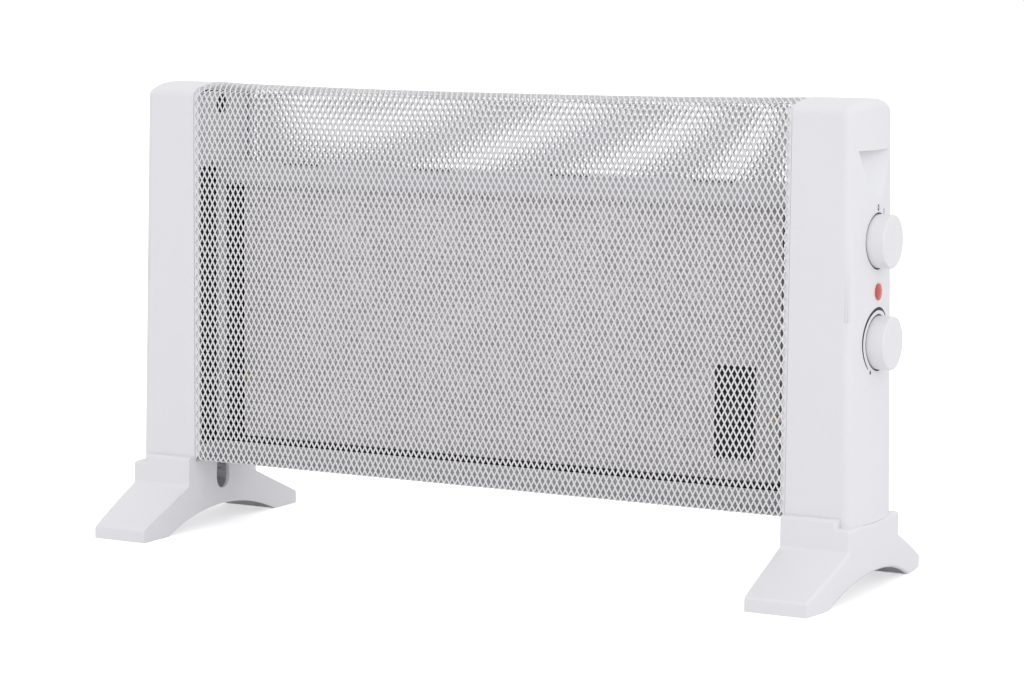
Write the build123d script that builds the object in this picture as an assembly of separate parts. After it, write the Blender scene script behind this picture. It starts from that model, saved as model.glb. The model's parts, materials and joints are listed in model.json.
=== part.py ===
from build123d import *
import math
import os

# Free-standing mica panel heater. Millimetres, +Z up, front towards -Y, controls on the +X end.
# The right-hand pieces are drawn at +X and the left-hand ones are their mirror images.
# At the end everything moves along X so that the origin lies on the floor, midway along the heater.

# Bay between the end plates, where the mesh and the element sit
BAY = 532.0
HALF_BAY = BAY / 2
FIT_GAP = 0.2

# End covers
COVER_DEPTH = 84.4
HALF_DEPTH = COVER_DEPTH / 2
COVER_EAVE = 366.0
COVER_CROWN_RISE = 6.0
COVER_CROWN = COVER_EAVE + COVER_CROWN_RISE
COVER_ROUND = 7.0
COVER_WALL = 2.5
COVER_FOOT = 55.0
COVER_REACH = 51.1
COVER_FLARE = 0.02
COVER_BOW = 6.5
LIP_REACH = 4.5

# Finger recess in the end face
RECESS_WIDTH = 62.0
RECESS_DEPTH = 13.0
RECESS_DOWN = 32.0
RECESS_TALL = 36.0
RECESS_TOP = COVER_EAVE - RECESS_DOWN
RECESS_TIP = RECESS_TOP - RECESS_TALL

# Expanded-metal mesh
MESH_SHEET = 0.8
MESH_INSET = 0.3
MESH_UP = 3.5
MESH_LOW = COVER_FOOT + MESH_UP
MESH_HEM = 14.0
MESH_COLUMNS = 18
MESH_ROWS = 5
MESH_STRAND = 3.4
MESH_EDGE_LOW = 7.5
MESH_EDGE_HIGH = 4.0
MESH_BEND_DOWN = 14.0
MESH_PANEL_LOW = MESH_LOW + MESH_EDGE_LOW
MESH_PANEL_HIGH = COVER_EAVE - MESH_BEND_DOWN
MESH_RIDGE_GAP = 0.3

# End plates and the black liners behind them
PLATE_SHEET = 1.2
PLATE_SIDE = 4.2
PLATE_DEPTH = COVER_DEPTH - 2 * PLATE_SIDE
PLATE_FLANGE = 6.0
PLATE_DOWN = 1.5
PLATE_TOP = COVER_EAVE - PLATE_DOWN
PLATE_CORNER = 8.0
PLATE_HEAD_TALL = 61.5
PLATE_HEAD_LOW = PLATE_TOP - PLATE_HEAD_TALL
PLATE_BASE_UP = 16.0
PLATE_BASE_TOP = COVER_FOOT + PLATE_BASE_UP
PLATE_STRIP = 12.0
PLATE_HOLE = 16.0
PLATE_HOLE_DOWN = 10.5
PLATE_HOLE_Z = PLATE_TOP - PLATE_HOLE_DOWN
LINER_SHEET = 1.0
LINER_INSET = 3.2

# Screws through plate and liner into the cover's bosses
COVER_SCREW = 4.0
COVER_SCREW_HEAD = 7.5
COVER_SCREW_HEAD_HIGH = 2.4
COVER_SCREW_LONG = 16.0
COVER_SCREW_DOWN = 39.5
COVER_SCREW_UP = 33.0
COVER_SCREW_UPPER_Z = PLATE_TOP - COVER_SCREW_DOWN
COVER_SCREW_LOWER_Z = COVER_FOOT + COVER_SCREW_UP
BOSS_WIDE = 9.0
SCREW_FIT = 0.05

# Rails of the element frame
RAIL_SHEET = 1.0
RAIL_DEPTH = 18.0
TOP_RAIL_DOWN = 59.0
TOP_RAIL_TALL = 18.0
TOP_RAIL_HIGH = COVER_EAVE - TOP_RAIL_DOWN
TOP_RAIL_LOW = TOP_RAIL_HIGH - TOP_RAIL_TALL
BOTTOM_RAIL_UP = 5.0
BOTTOM_RAIL_TALL = 12.0
BOTTOM_RAIL_LOW = COVER_FOOT + BOTTOM_RAIL_UP
BOTTOM_RAIL_HIGH = BOTTOM_RAIL_LOW + BOTTOM_RAIL_TALL
RAIL_SLOT_LONG = 38.0
RAIL_SLOT_WIDE = 10.0
RAIL_SLOT_DROP = 1.6
RAIL_SLOT_END = 85.0
RAIL_SLOT_PITCH = 122.7
RAIL_SLOT_COUNT = 4
INSULATOR_PROUD = 4.3
INSULATOR_GROOVE = 3.5

# Mica sandwich
BOARD_AIR = 23.0
BOARD_HALF = HALF_BAY - BOARD_AIR
MICA_SHEET = 0.8
CORE_SHEET = 0.8
CORE_TRIM = 1.5
RIBBON_THICK = 0.3
RIBBON_WIDE = 4.0
RIBBON_TURNS = 20
RIBBON_EDGE = 26.0
BOARD_SEAT = 5.5
SHEET_AIR = 0.04
EYELET = 3.0
EYELET_HEAD = 6.0
EYELET_HEAD_HIGH = 0.5
EYELET_EDGE = 7.0
EYELET_COUNT = 5

# Window in the front mica board, with the thermal cut-out in it
WINDOW_SIDE = 20.0
WINDOW_WIDE = 34.5
WINDOW_UP = 20.0
WINDOW_TALL = 73.0
WINDOW_LEFT = BOARD_HALF - WINDOW_SIDE - WINDOW_WIDE
WINDOW_LOW = BOTTOM_RAIL_HIGH + WINDOW_UP
WINDOW_HIGH = WINDOW_LOW + WINDOW_TALL
CUTOUT_DISC = 16.0
CUTOUT_HIGH = 5.0
CUTOUT_CAP = 10.0
CUTOUT_CAP_HIGH = 2.0

# Terminals at the two upright edges of the boards
TERMINAL_UP = 54.0
TERMINAL_Z = BOTTOM_RAIL_HIGH + TERMINAL_UP
TERMINAL_INSET = 3.5
TERMINAL_STUD = 3.0
TERMINAL_STUD_PROUD = 2.0
TERMINAL_HEAD_HIGH = 0.6
TERMINAL_NUT = 7.0
TERMINAL_NUT_HIGH = 2.6

# Sleeved leads and the ring lugs on the element's terminals
LEAD = 2.6
LEAD_BEND = 4.0
LUG_SHEET = 0.8
LUG_TAIL = 3.0
LUG_BARREL = 3.6
LUG_BARREL_LONG = 5.0
LUG_REACH = 7.0
GROMMET_HOLE = 7.0
GROMMET_LIP = 1.0
GROMMET_SIDE = 16.2
GROMMET_Y = GROMMET_SIDE - HALF_DEPTH

# Feet
TOE_HALF = 115.0
TOE_HIGH = 10.6
TOE_PAD = 34.0
FOOT_STEP = 2.1
TOE_REACH = COVER_REACH - FOOT_STEP
FOOT_BOW = 8.6
ARCH_RISE = 16.5
FOOT_LIP = 8.1
BLOCK_HALF = HALF_DEPTH + FIT_GAP + FOOT_LIP
RAMP_DOWN = 17.5
RAMP_HIGH = COVER_FOOT - RAMP_DOWN
FOOT_LIP_UP = 6.5
FOOT_LIP_HIGH = COVER_FOOT + FOOT_LIP_UP
FOOT_LIP_ROOT = 4.0
FOOT_LIP_BACK = 6.6
FOOT_LIP_REACH = COVER_REACH - FOOT_LIP_BACK
FOOT_WALL = 3.0
FOOT_ROUND = 2.5
SLOT_WIDE = 18.8
SLOT_DOWN = 25.2
SLOT_LOW = COVER_FOOT - SLOT_DOWN

# Screws through the foot into the floor of the cover
FOOT_SCREW = 3.5
FOOT_SCREW_HEAD = 8.0
FOOT_SCREW_HEAD_HIGH = 2.6
FOOT_SCREW_LONG = 14.0
FOOT_SCREW_SHY = 4.0
FOOT_SCREW_SIDE = 15.2
FOOT_SCREW_Y = HALF_DEPTH - FOOT_SCREW_SIDE
FOOT_SCREW_IN = 25.0
FOOT_BOSS = 11.0
FOOT_BOSS_TALL = 12.0

# Controls on the right end face
SELECTOR_DOWN = 100.0
CONTROL_PITCH = 38.0
SELECTOR_Z = COVER_EAVE - SELECTOR_DOWN
LAMP_Z = SELECTOR_Z - CONTROL_PITCH
THERMOSTAT_Z = LAMP_Z - CONTROL_PITCH
KNOB_WIDE = 40.4
KNOB_PROUD = 12.4
KNOB_SKIRT = 2.0
KNOB_ROUND = 1.5
KNOB_HUB = 12.0
WELL_GAP = 1.2
WELL_DEPTH = 3.4
WELL_FLOOR = 2.4
KNOB_LIFT = 0.8
SHAFT = 6.0
SHAFT_FLAT = 1.5
SHAFT_FIT = 0.05
SHAFT_SEAT = 8.0
LAMP_WIDE = 12.7
LAMP_PROUD = 1.6
LAMP_FLANGE = 0.7
LAMP_SEAT = 0.15
LAMP_NECK = 4.0
LAMP_BARREL = 10.0
LAMP_BARREL_LONG = 22.0
LAMP_COLLAR = 14.0
LAMP_COLLAR_THICK = 1.5

# Bodies behind the controls
SELECTOR_BODY = 30.0
SELECTOR_BODY_DEEP = 17.0
THERMOSTAT_BODY_WIDE = 38.0
THERMOSTAT_BODY_HIGH = 28.0
THERMOSTAT_BODY_DEEP = 14.0
CONTROL_BODY_ROUND = 3.0
CONTROL_BUSH = 9.0
CONTROL_SCREW = 3.0
CONTROL_SCREW_IN = 5.0
CONTROL_SCREW_HEAD = 5.5
CONTROL_SCREW_HEAD_HIGH = 1.2
CONTROL_SCREW_SPREAD = 22.0

# Terminal block and cord bush in the right cover
BLOCK_WIDE = 12.0
BLOCK_DEEP = 20.0
BLOCK_WAYS = 3
BLOCK_PITCH = 11.333
BLOCK_WAY_HOLE = 4.5
BLOCK_UP = 63.0
BLOCK_Z = COVER_FOOT + BLOCK_UP
BUSH_HOLE = 10.0
BUSH_NECK = 7.0
BUSH_FLANGE = 14.0
BUSH_FLANGE_HIGH = 2.0
BUSH_BORE = 6.5
BUSH_UP = 29.0
BUSH_Z = COVER_FOOT + BUSH_UP
BUSH_IN = 24.0

# Tilt switch in the left cover
TILT_WIDE = 18.0
TILT_DEEP = 30.0
TILT_TALL = 38.0
TILT_WALL = 2.0
TILT_STANDOFF = 1.0
TILT_UP = 95.0
TILT_Z = COVER_FOOT + TILT_UP
TILT_PIN = 3.0
TILT_PIN_PROUD = 0.5
TILT_PIN_DROP = 6.0
TILT_EYE = 8.0
TILT_ARM = 5.0
TILT_ARM_DEEP = 4.0
TILT_BOB = 12.0
TILT_BOB_LONG = 10.0
TILT_BOB_DROP = 19.0

# Alignments for upright cylinders that grow up or down from their place
GROW_UP = (Align.CENTER, Align.CENTER, Align.MIN)
GROW_DOWN = (Align.CENTER, Align.CENTER, Align.MAX)


def face_x(z):
    """Place along X of the end cover's end face at its middle, at height z."""
    return edge_x(z) + COVER_BOW


def edge_x(z):
    """Place along X of the end cover's end face at its front and rear corners, at height z."""
    return HALF_BAY + COVER_REACH - COVER_FLARE * (z - COVER_FOOT)


def arc_radius(half_chord, rise):
    """Radius of the arc with this half chord and rise."""
    return (half_chord**2 + rise**2) / (2 * rise)


def crown_z(y, inset=0.0):
    """Height of the crowned top at depth y, drawn in by inset."""
    radius = arc_radius(HALF_DEPTH, COVER_CROWN_RISE)
    return COVER_CROWN - radius + math.sqrt((radius - inset) ** 2 - y**2)


def gable(inset, low):
    """Side view along X of the covers: upright sides under a crowned top, with sharp corners."""
    half = HALF_DEPTH - inset
    eave = crown_z(half, inset)
    sides = Polyline((-half, eave), (-half, low), (half, low), (half, eave))
    top = ThreePointArc((half, eave), (0, crown_z(0, inset)), (-half, eave))
    return make_face(sides + top)


def arch_outline(inset, low):
    """The same side view with its two upper corners rounded, as the covers' rims and the mesh have it."""
    face = gable(inset, low)
    corners = face.vertices().group_by(Axis.Y)[-1]
    return fillet(corners, COVER_ROUND - inset)


def along_x(face, start, stop):
    """Solid made by carrying a YZ outline along X from start to stop."""
    return extrude(Plane.YZ.offset(start) * face, stop - start)


def along_y(face, start, stop):
    """Solid made by carrying an XZ outline along Y from start to stop."""
    plane = Plane(origin=(0, start, 0), x_dir=(1, 0, 0), z_dir=(0, -1, 0))
    return extrude(plane * face, start - stop)


def rod_x(diameter, start, stop, y, z):
    """Round bar along X."""
    return along_x(Pos(y, z) * Circle(diameter / 2), start, stop)


def block(x0, x1, y0, y1, z0, z1):
    """Rectangular block between two corners."""
    return Pos((x0 + x1) / 2, (y0 + y1) / 2, (z0 + z1) / 2) * Box(x1 - x0, y1 - y0, z1 - z0)


def end_outline(edge, inset):
    """Plan of an end cover: straight front and rear, bowed end."""
    half = HALF_DEPTH - inset
    start = HALF_BAY - LIP_REACH - 1 if inset else HALF_BAY
    corner = edge - inset
    sides = Polyline((corner, half), (start, half), (start, -half), (corner, -half))
    bow = ThreePointArc((corner, -half), (corner + COVER_BOW, 0), (corner, half))
    return make_face(sides + bow)


def end_form(inset, low):
    """Whole form of an end cover drawn in by inset: flared, bowed and crowned, with rounded edges."""
    high = COVER_CROWN + 10
    flared = loft([
        Plane.XY.offset(low) * end_outline(edge_x(low), inset),
        Plane.XY.offset(high) * end_outline(edge_x(high), inset),
    ], ruled=True)
    crowned = flared & along_x(gable(inset, low), HALF_BAY - 2 * LIP_REACH, face_x(low) + 1)
    outer = [e for e in crowned.edges() if e.bounding_box().max.X > HALF_BAY + 1]
    upper = [e for e in outer if e.bounding_box().min.Z > low + 1]
    upright = [e for e in outer if e.bounding_box().min.X > HALF_BAY + 1 and e not in upper]
    upright = [e for e in upright if e.bounding_box().size.Z > COVER_ROUND]
    return fillet(upper + upright, COVER_ROUND - inset)


def recess_radius():
    """Radius of the finger recess at its flat top."""
    half = RECESS_WIDTH / 2
    drop = COVER_BOW * (half / HALF_DEPTH) ** 2
    return arc_radius(half, RECESS_DEPTH - drop)


def recess_x(z):
    """Place along X of the back of the finger recess at its middle, at height z."""
    deep, shallow = face_x(RECESS_TOP) - RECESS_DEPTH, face_x(RECESS_TIP)
    return shallow + (deep - shallow) * (z - RECESS_TIP) / (RECESS_TOP - RECESS_TIP)


def recess_cone(extra):
    """Upright cone that the finger recess is cut with, grown by extra."""
    radius = recess_radius()
    axis = recess_x(RECESS_TOP) + radius
    tip_radius = axis - recess_x(RECESS_TIP)
    slope = (radius - tip_radius) / (RECESS_TOP - RECESS_TIP)
    low = RECESS_TIP - 20
    cone = Cone(
        tip_radius - slope * (RECESS_TIP - low) + extra, radius + slope * extra + extra,
        RECESS_TOP + extra - low, align=(Align.CENTER, Align.CENTER, Align.MIN),
    )
    return Pos(axis, 0, low) * cone


def sheet_low():
    """Height of the lower edge of the end plate and the liner, just above the cover's floor."""
    return COVER_FOOT + COVER_WALL + FIT_GAP


def boss_end():
    """Place along X where the cover's bosses meet the liner."""
    return HALF_BAY + PLATE_SHEET + LINER_SHEET + 2 * FIT_GAP


def end_cover():
    """End cover without the holes for the controls."""
    outside = end_form(0, COVER_FOOT)
    cover = outside - end_form(COVER_WALL, COVER_FOOT + COVER_WALL)
    lip_low = FOOT_LIP_HIGH + 1
    lip = along_x(
        arch_outline(MESH_INSET + MESH_SHEET + FIT_GAP, lip_low) - arch_outline(COVER_WALL, lip_low - 5),
        HALF_BAY - LIP_REACH, HALF_BAY + COVER_WALL,
    )
    cover += lip
    cover += outside & recess_cone(COVER_WALL)
    for z, back in ((COVER_SCREW_UPPER_Z, recess_x(COVER_SCREW_UPPER_Z)),
                    (COVER_SCREW_LOWER_Z, face_x(COVER_SCREW_LOWER_Z))):
        cover += rod_x(BOSS_WIDE, boss_end(), back - COVER_WALL / 2, 0, z)
        cover -= rod_x(COVER_SCREW + 2 * SCREW_FIT, boss_end() - 1, boss_end() + COVER_SCREW_LONG, 0, z)
    cover -= recess_cone(0)
    for y in (-FOOT_SCREW_Y, FOOT_SCREW_Y):
        post = Pos(HALF_BAY + FOOT_SCREW_IN, y, COVER_FOOT)
        cover += post * Cylinder(BOSS_WIDE / 2, FOOT_SCREW_LONG, align=GROW_UP)
        cover -= post * Cylinder(FOOT_SCREW / 2 + SCREW_FIT, FOOT_SCREW_LONG - COVER_WALL, align=GROW_UP)
    return cover


def knob_seat(z):
    """Place along X of the floor of a knob's well, whose wall is WELL_DEPTH deep at its middle."""
    return face_x(z) - WELL_DEPTH


def right_cover():
    """End cover with the wells, shaft holes, lamp hole and cord hole."""
    cover = end_cover()
    outside = end_form(0, COVER_FOOT)
    well = KNOB_WIDE + 2 * WELL_GAP
    for z in (SELECTOR_Z, THERMOSTAT_Z):
        seat = knob_seat(z)
        cover += outside & rod_x(well + 2 * COVER_WALL, seat - WELL_FLOOR, face_x(z) + 1, 0, z)
        cover -= rod_x(well, seat, face_x(z) + 5, 0, z)
        cover -= rod_x(CONTROL_BUSH + 2 * FIT_GAP, seat - WELL_FLOOR - 1, seat + 1, 0, z)
        for y in (-CONTROL_SCREW_SPREAD / 2, CONTROL_SCREW_SPREAD / 2):
            cover -= rod_x(CONTROL_SCREW + 2 * FIT_GAP, seat - WELL_FLOOR - 1, seat + 1, y, z)
    cover -= rod_x(LAMP_BARREL + 2 * FIT_GAP, face_x(LAMP_Z) - 10, face_x(LAMP_Z) + 1, 0, LAMP_Z)
    bush_hole = Cylinder(BUSH_HOLE / 2 + FIT_GAP, 2 * BUSH_NECK)
    cover -= Pos(HALF_BAY + BUSH_IN, HALF_DEPTH, BUSH_Z) * Rot(90, 0, 0) * bush_hole
    return cover


def end_plate():
    """White sheet-steel plate: head, narrow middle strip and base, with a turned-in lower edge."""
    half = PLATE_DEPTH / 2
    low = sheet_low()
    outline = Pos(0, (PLATE_TOP + low) / 2) * Rectangle(PLATE_DEPTH, PLATE_TOP - low)
    outline = fillet(outline.vertices().group_by(Axis.Y)[-1], PLATE_CORNER)
    tall = PLATE_HEAD_LOW - PLATE_BASE_TOP
    wide = half + 1 - PLATE_STRIP / 2
    for side in (-1, 1):
        place = Pos(side * (PLATE_STRIP / 2 + wide / 2), PLATE_BASE_TOP + tall / 2)
        outline -= place * Rectangle(wide, tall)
    outline -= Pos(0, PLATE_HOLE_Z) * Circle(PLATE_HOLE / 2)
    for z in (COVER_SCREW_UPPER_Z, COVER_SCREW_LOWER_Z):
        outline -= Pos(0, z) * Circle(COVER_SCREW / 2 + FIT_GAP)
    plate = along_x(outline, HALF_BAY, HALF_BAY + PLATE_SHEET)
    half = HALF_DEPTH - MESH_INSET - MESH_HEM - FIT_GAP
    start = HALF_BAY - PLATE_FLANGE
    return plate + block(start, HALF_BAY + PLATE_SHEET, -half, half, low, low + PLATE_SHEET)


def liner():
    """Black sheet that closes the cover behind the end plate, with a hole for the element lead."""
    outline = arch_outline(LINER_INSET, sheet_low())
    outline -= Pos(GROMMET_Y, TERMINAL_Z) * Circle(GROMMET_HOLE / 2)
    for z in (COVER_SCREW_UPPER_Z, COVER_SCREW_LOWER_Z):
        outline -= Pos(0, z) * Circle(COVER_SCREW / 2 + FIT_GAP)
    start = HALF_BAY + PLATE_SHEET + FIT_GAP
    return along_x(outline, start, start + LINER_SHEET)


def cover_screws():
    """Pan-head screws that hold plate and liner to the cover."""
    screws = []
    for z in (COVER_SCREW_UPPER_Z, COVER_SCREW_LOWER_Z):
        head = rod_x(COVER_SCREW_HEAD, HALF_BAY - COVER_SCREW_HEAD_HIGH, HALF_BAY, 0, z)
        head = fillet(head.edges().group_by(Axis.X)[0], COVER_SCREW_HEAD_HIGH / 2)
        screws.append(head + rod_x(COVER_SCREW, HALF_BAY, boss_end() + COVER_SCREW_LONG - 2, 0, z))
    return screws


def diamond(wide, high):
    """Diamond gap of the expanded metal, with its long diagonal upright."""
    return make_face(Polyline((-wide / 2, 0), (0, -high / 2), (wide / 2, 0), (0, high / 2), close=True))


def mesh_gaps(low, high, rows):
    """Staggered diamond gaps over the width of the bay, between two heights."""
    long_x = BAY / MESH_COLUMNS
    long_z = (high - low) / rows
    thin = MESH_STRAND / math.sin(math.atan2(long_z, long_x))
    gap = diamond(long_x - thin, long_z - thin * long_z / long_x)
    gaps = []
    for row in range(rows):
        for column in range(MESH_COLUMNS):
            gaps.append(Pos(-HALF_BAY + long_x * (column + 0.5), low + long_z * (row + 0.5)) * gap)
    for row in range(1, rows):
        for column in range(1, MESH_COLUMNS):
            gaps.append(Pos(-HALF_BAY + long_x * column, low + long_z * row) * gap)
    return gaps


def front_mesh():
    """Front half of the mesh: a holed panel, rolled over the top to the ridge, with a hem below."""
    end = HALF_BAY - 2 * FIT_GAP
    face_y = -HALF_DEPTH + MESH_INSET
    tall = MESH_PANEL_HIGH - MESH_LOW
    panel = Pos(0, MESH_LOW + tall / 2) * Rectangle(2 * end, tall)
    panel -= mesh_gaps(MESH_PANEL_LOW, MESH_PANEL_HIGH - MESH_EDGE_HIGH, MESH_ROWS)
    panel = along_y(panel, face_y, face_y + MESH_SHEET)
    shell = arch_outline(MESH_INSET, MESH_LOW) - arch_outline(MESH_INSET + MESH_SHEET, MESH_LOW - 1)
    roll = along_x(shell, -end, end)
    roll &= block(-end, end, -HALF_DEPTH, -MESH_RIDGE_GAP / 2, MESH_PANEL_HIGH, COVER_CROWN + 1)
    hem = block(-end, end, face_y, face_y + MESH_HEM, MESH_LOW, MESH_LOW + MESH_SHEET)
    return panel + roll + hem


def rail(low, high, opening):
    """Channel of sheet steel along the bay, open upwards (opening 1) or downwards (opening -1)."""
    end, half = HALF_BAY - FIT_GAP, RAIL_DEPTH / 2
    inner_end, inner_half = end - RAIL_SHEET, half - RAIL_SHEET
    lift = RAIL_SHEET * opening
    body = block(-end, end, -half, half, low, high)
    return body - block(-inner_end, inner_end, -inner_half, inner_half, low + lift, high + lift)


def top_rail():
    """Top rail with its row of slots."""
    body = rail(TOP_RAIL_LOW, TOP_RAIL_HIGH, -1)
    front, half = -RAIL_DEPTH / 2, RAIL_SLOT_LONG / 2
    back, low = front + RAIL_SLOT_WIDE, TOP_RAIL_HIGH - RAIL_SLOT_DROP
    for number in range(RAIL_SLOT_COUNT):
        x = RAIL_SLOT_END - HALF_BAY + RAIL_SLOT_PITCH * number
        body -= block(x - half, x + half, front - 1, back, low, TOP_RAIL_HIGH + 1)
    return body


def board_low():
    """Height of the lower edge of the mica sandwich, in the lower insulator's groove."""
    return BOTTOM_RAIL_HIGH + INSULATOR_PROUD - BOARD_SEAT


def board_high():
    """Height of the upper edge of the mica sandwich, in the upper insulator's groove."""
    return TOP_RAIL_LOW + FIT_GAP + BOARD_SEAT


def insulator(low, high, groove_low, groove_high):
    """Insulating bar inside a rail, grooved for the edge of the mica sandwich."""
    end = HALF_BAY - RAIL_SHEET - 2 * FIT_GAP
    half = RAIL_DEPTH / 2 - RAIL_SHEET - FIT_GAP
    groove = INSULATOR_GROOVE / 2
    bar = block(-end, end, -half, half, low, high)
    return bar - block(-end - 1, end + 1, -groove, groove, groove_low, groove_high)


def lower_insulator():
    """Bar in the bottom rail that the mica sandwich stands in."""
    top = BOTTOM_RAIL_HIGH + INSULATOR_PROUD
    return insulator(BOTTOM_RAIL_LOW + RAIL_SHEET + FIT_GAP, top, board_low() - FIT_GAP, top + 1)


def upper_insulator():
    """Bar in the top rail that holds the upper edge of the mica sandwich."""
    low = TOP_RAIL_LOW + FIT_GAP
    high = TOP_RAIL_HIGH - RAIL_SHEET - 2 * RAIL_SLOT_DROP
    return insulator(low, high, low - 1, board_high() + FIT_GAP)


def eyelet_places():
    """Places (x, z) of the eyelets near the upright edges of the boards."""
    pitch = (board_high() - board_low()) / EYELET_COUNT
    rows = [board_low() + pitch * (n + 0.5) for n in range(EYELET_COUNT)]
    return [(side * (BOARD_HALF - EYELET_EDGE), z) for side in (-1, 1) for z in rows]


def terminal_places():
    """Places (x, z) of the terminal studs at the two upright edges of the boards."""
    return [(side * (BOARD_HALF - TERMINAL_INSET), TERMINAL_Z) for side in (-1, 1)]


def board(y0, y1, window=False):
    """One sheet of the mica sandwich, with holes for eyelets and terminals."""
    tall = board_high() - board_low()
    sheet = Pos(0, board_low() + tall / 2) * Rectangle(2 * BOARD_HALF, tall)
    for x, z in eyelet_places():
        sheet -= Pos(x, z) * Circle(EYELET / 2 + SCREW_FIT)
    for x, z in terminal_places():
        sheet -= Pos(x, z) * Circle(TERMINAL_STUD / 2 + SCREW_FIT)
    if window:
        wide, high = WINDOW_WIDE, WINDOW_HIGH - WINDOW_LOW
        sheet -= Pos(WINDOW_LEFT + wide / 2, WINDOW_LOW + high / 2) * Rectangle(wide, high)
    return along_y(sheet, y0, y1)


def core_half():
    """Half the thickness of the core sheet."""
    return CORE_SHEET / 2


def outer_sheet_inside():
    """Distance from the middle plane to the inner side of the front and rear boards."""
    return core_half() + RIBBON_THICK + 2 * SHEET_AIR


def mica_core():
    """Middle sheet, shorter than the outer ones, that the ribbon is wound on."""
    core = board(-core_half(), core_half())
    trim = block(-BOARD_HALF - 1, BOARD_HALF + 1, -1, 1, board_low() - 1, board_high() + 1)
    keep = block(-BOARD_HALF - 1, BOARD_HALF + 1, -1, 1, ribbon_low(), ribbon_high())
    return core - (trim - keep)


def ribbon_low():
    """Height of the core's lower edge, which the ribbon goes round."""
    return board_low() + CORE_TRIM


def ribbon_high():
    """Height of the core's upper edge, which the ribbon goes round."""
    return board_high() - CORE_TRIM


def heating_ribbon():
    """Resistance ribbon wound round the core: upright runs in front, slanted ones behind."""
    inner = core_half() + SHEET_AIR
    outer = inner + RIBBON_THICK
    left = -BOARD_HALF + RIBBON_EDGE
    pitch = (2 * BOARD_HALF - 2 * RIBBON_EDGE) / RIBBON_TURNS
    low, high = ribbon_low() - SHEET_AIR, ribbon_high() + SHEET_AIR
    half = RIBBON_WIDE / 2
    ribbon = None
    for turn in range(RIBBON_TURNS + 1):
        x = left + pitch * turn
        pieces = [
            block(x - half, x + half, -outer, -inner, low - RIBBON_THICK, high + RIBBON_THICK),
        ]
        if turn < RIBBON_TURNS:
            after = x + pitch
            slant = make_face(Polyline(
                (x - half, high), (x + half, high), (after + half, low), (after - half, low), close=True,
            ))
            pieces.append(along_y(slant, inner, outer))
            pieces.append(block(x - half, x + half, -inner, outer, high, high + RIBBON_THICK))
            pieces.append(block(after - half, after + half, -inner, outer, low - RIBBON_THICK, low))
        for piece in pieces:
            ribbon = piece if ribbon is None else ribbon + piece
    return ribbon


def eyelets():
    """Eyelets through the three sheets, with a head on each side."""
    out = outer_sheet_inside() + MICA_SHEET
    end = out + EYELET_HEAD_HIGH
    made = []
    for x, z in eyelet_places():
        shank = along_y(Pos(x, z) * Circle(EYELET / 2), -end, end)
        head = Pos(x, z) * Circle(EYELET_HEAD / 2)
        made.append(shank + along_y(head, -end, -out) + along_y(head, out, end))
    return made


def terminals():
    """Brass studs with a hexagon nut in front of the boards."""
    out = outer_sheet_inside() + MICA_SHEET
    made = []
    front, back = -out - TERMINAL_NUT_HIGH, out + TERMINAL_HEAD_HIGH
    for x, z in terminal_places():
        stud = along_y(Pos(x, z) * Circle(TERMINAL_STUD / 2), front - TERMINAL_STUD_PROUD, back)
        nut = along_y(Pos(x, z) * RegularPolygon(TERMINAL_NUT / 2, 6), front, -out)
        head = along_y(Pos(x, z) * Circle(TERMINAL_NUT / 2), out, back)
        made.append(stud + nut + head)
    return made


def cutout_bracket():
    """Black plate that fills the window of the front board and carries the thermal cut-out."""
    front = -outer_sheet_inside() - MICA_SHEET
    return block(
        WINDOW_LEFT + FIT_GAP, WINDOW_LEFT + WINDOW_WIDE - FIT_GAP, front, -outer_sheet_inside(),
        WINDOW_LOW + FIT_GAP, WINDOW_HIGH - FIT_GAP,
    )


def thermal_cutout():
    """Disc thermostat on the bracket: base disc with a smaller cap."""
    back = -outer_sheet_inside() - MICA_SHEET
    place = Pos(WINDOW_LEFT + WINDOW_WIDE / 2, (WINDOW_LOW + WINDOW_HIGH) / 2)
    front = back - CUTOUT_HIGH
    disc = along_y(place * Circle(CUTOUT_DISC / 2), front, back)
    return disc + along_y(place * Circle(CUTOUT_CAP / 2), front - CUTOUT_CAP_HIGH, front)


def foot_profile(inset, flat):
    """Side view of a foot along X: toes, straight ramps, block, and the arch below."""
    toe, pad = TOE_HALF - inset, TOE_HALF - TOE_PAD
    top = COVER_FOOT - inset
    above = Polyline(
        (-pad, flat), (-toe, flat), (-toe, TOE_HIGH - inset), (-BLOCK_HALF + inset, RAMP_HIGH - inset),
        (-BLOCK_HALF + inset, top), (BLOCK_HALF - inset, top), (BLOCK_HALF - inset, RAMP_HIGH - inset),
        (toe, TOE_HIGH - inset), (toe, flat), (pad, flat),
    )
    arch = ThreePointArc((pad, flat), (0, flat + ARCH_RISE), (-pad, flat))
    return make_face(above + arch)


def foot_plan(inset):
    """Plan of a foot: straight inner side, bowed outer side."""
    toe = TOE_HALF - inset
    inner, outer = HALF_BAY + inset, HALF_BAY + TOE_REACH - inset
    sides = Polyline((outer, toe), (inner, toe), (inner, -toe), (outer, -toe))
    return make_face(sides + ThreePointArc((outer, -toe), (outer + FOOT_BOW, 0), (outer, toe)))


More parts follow.
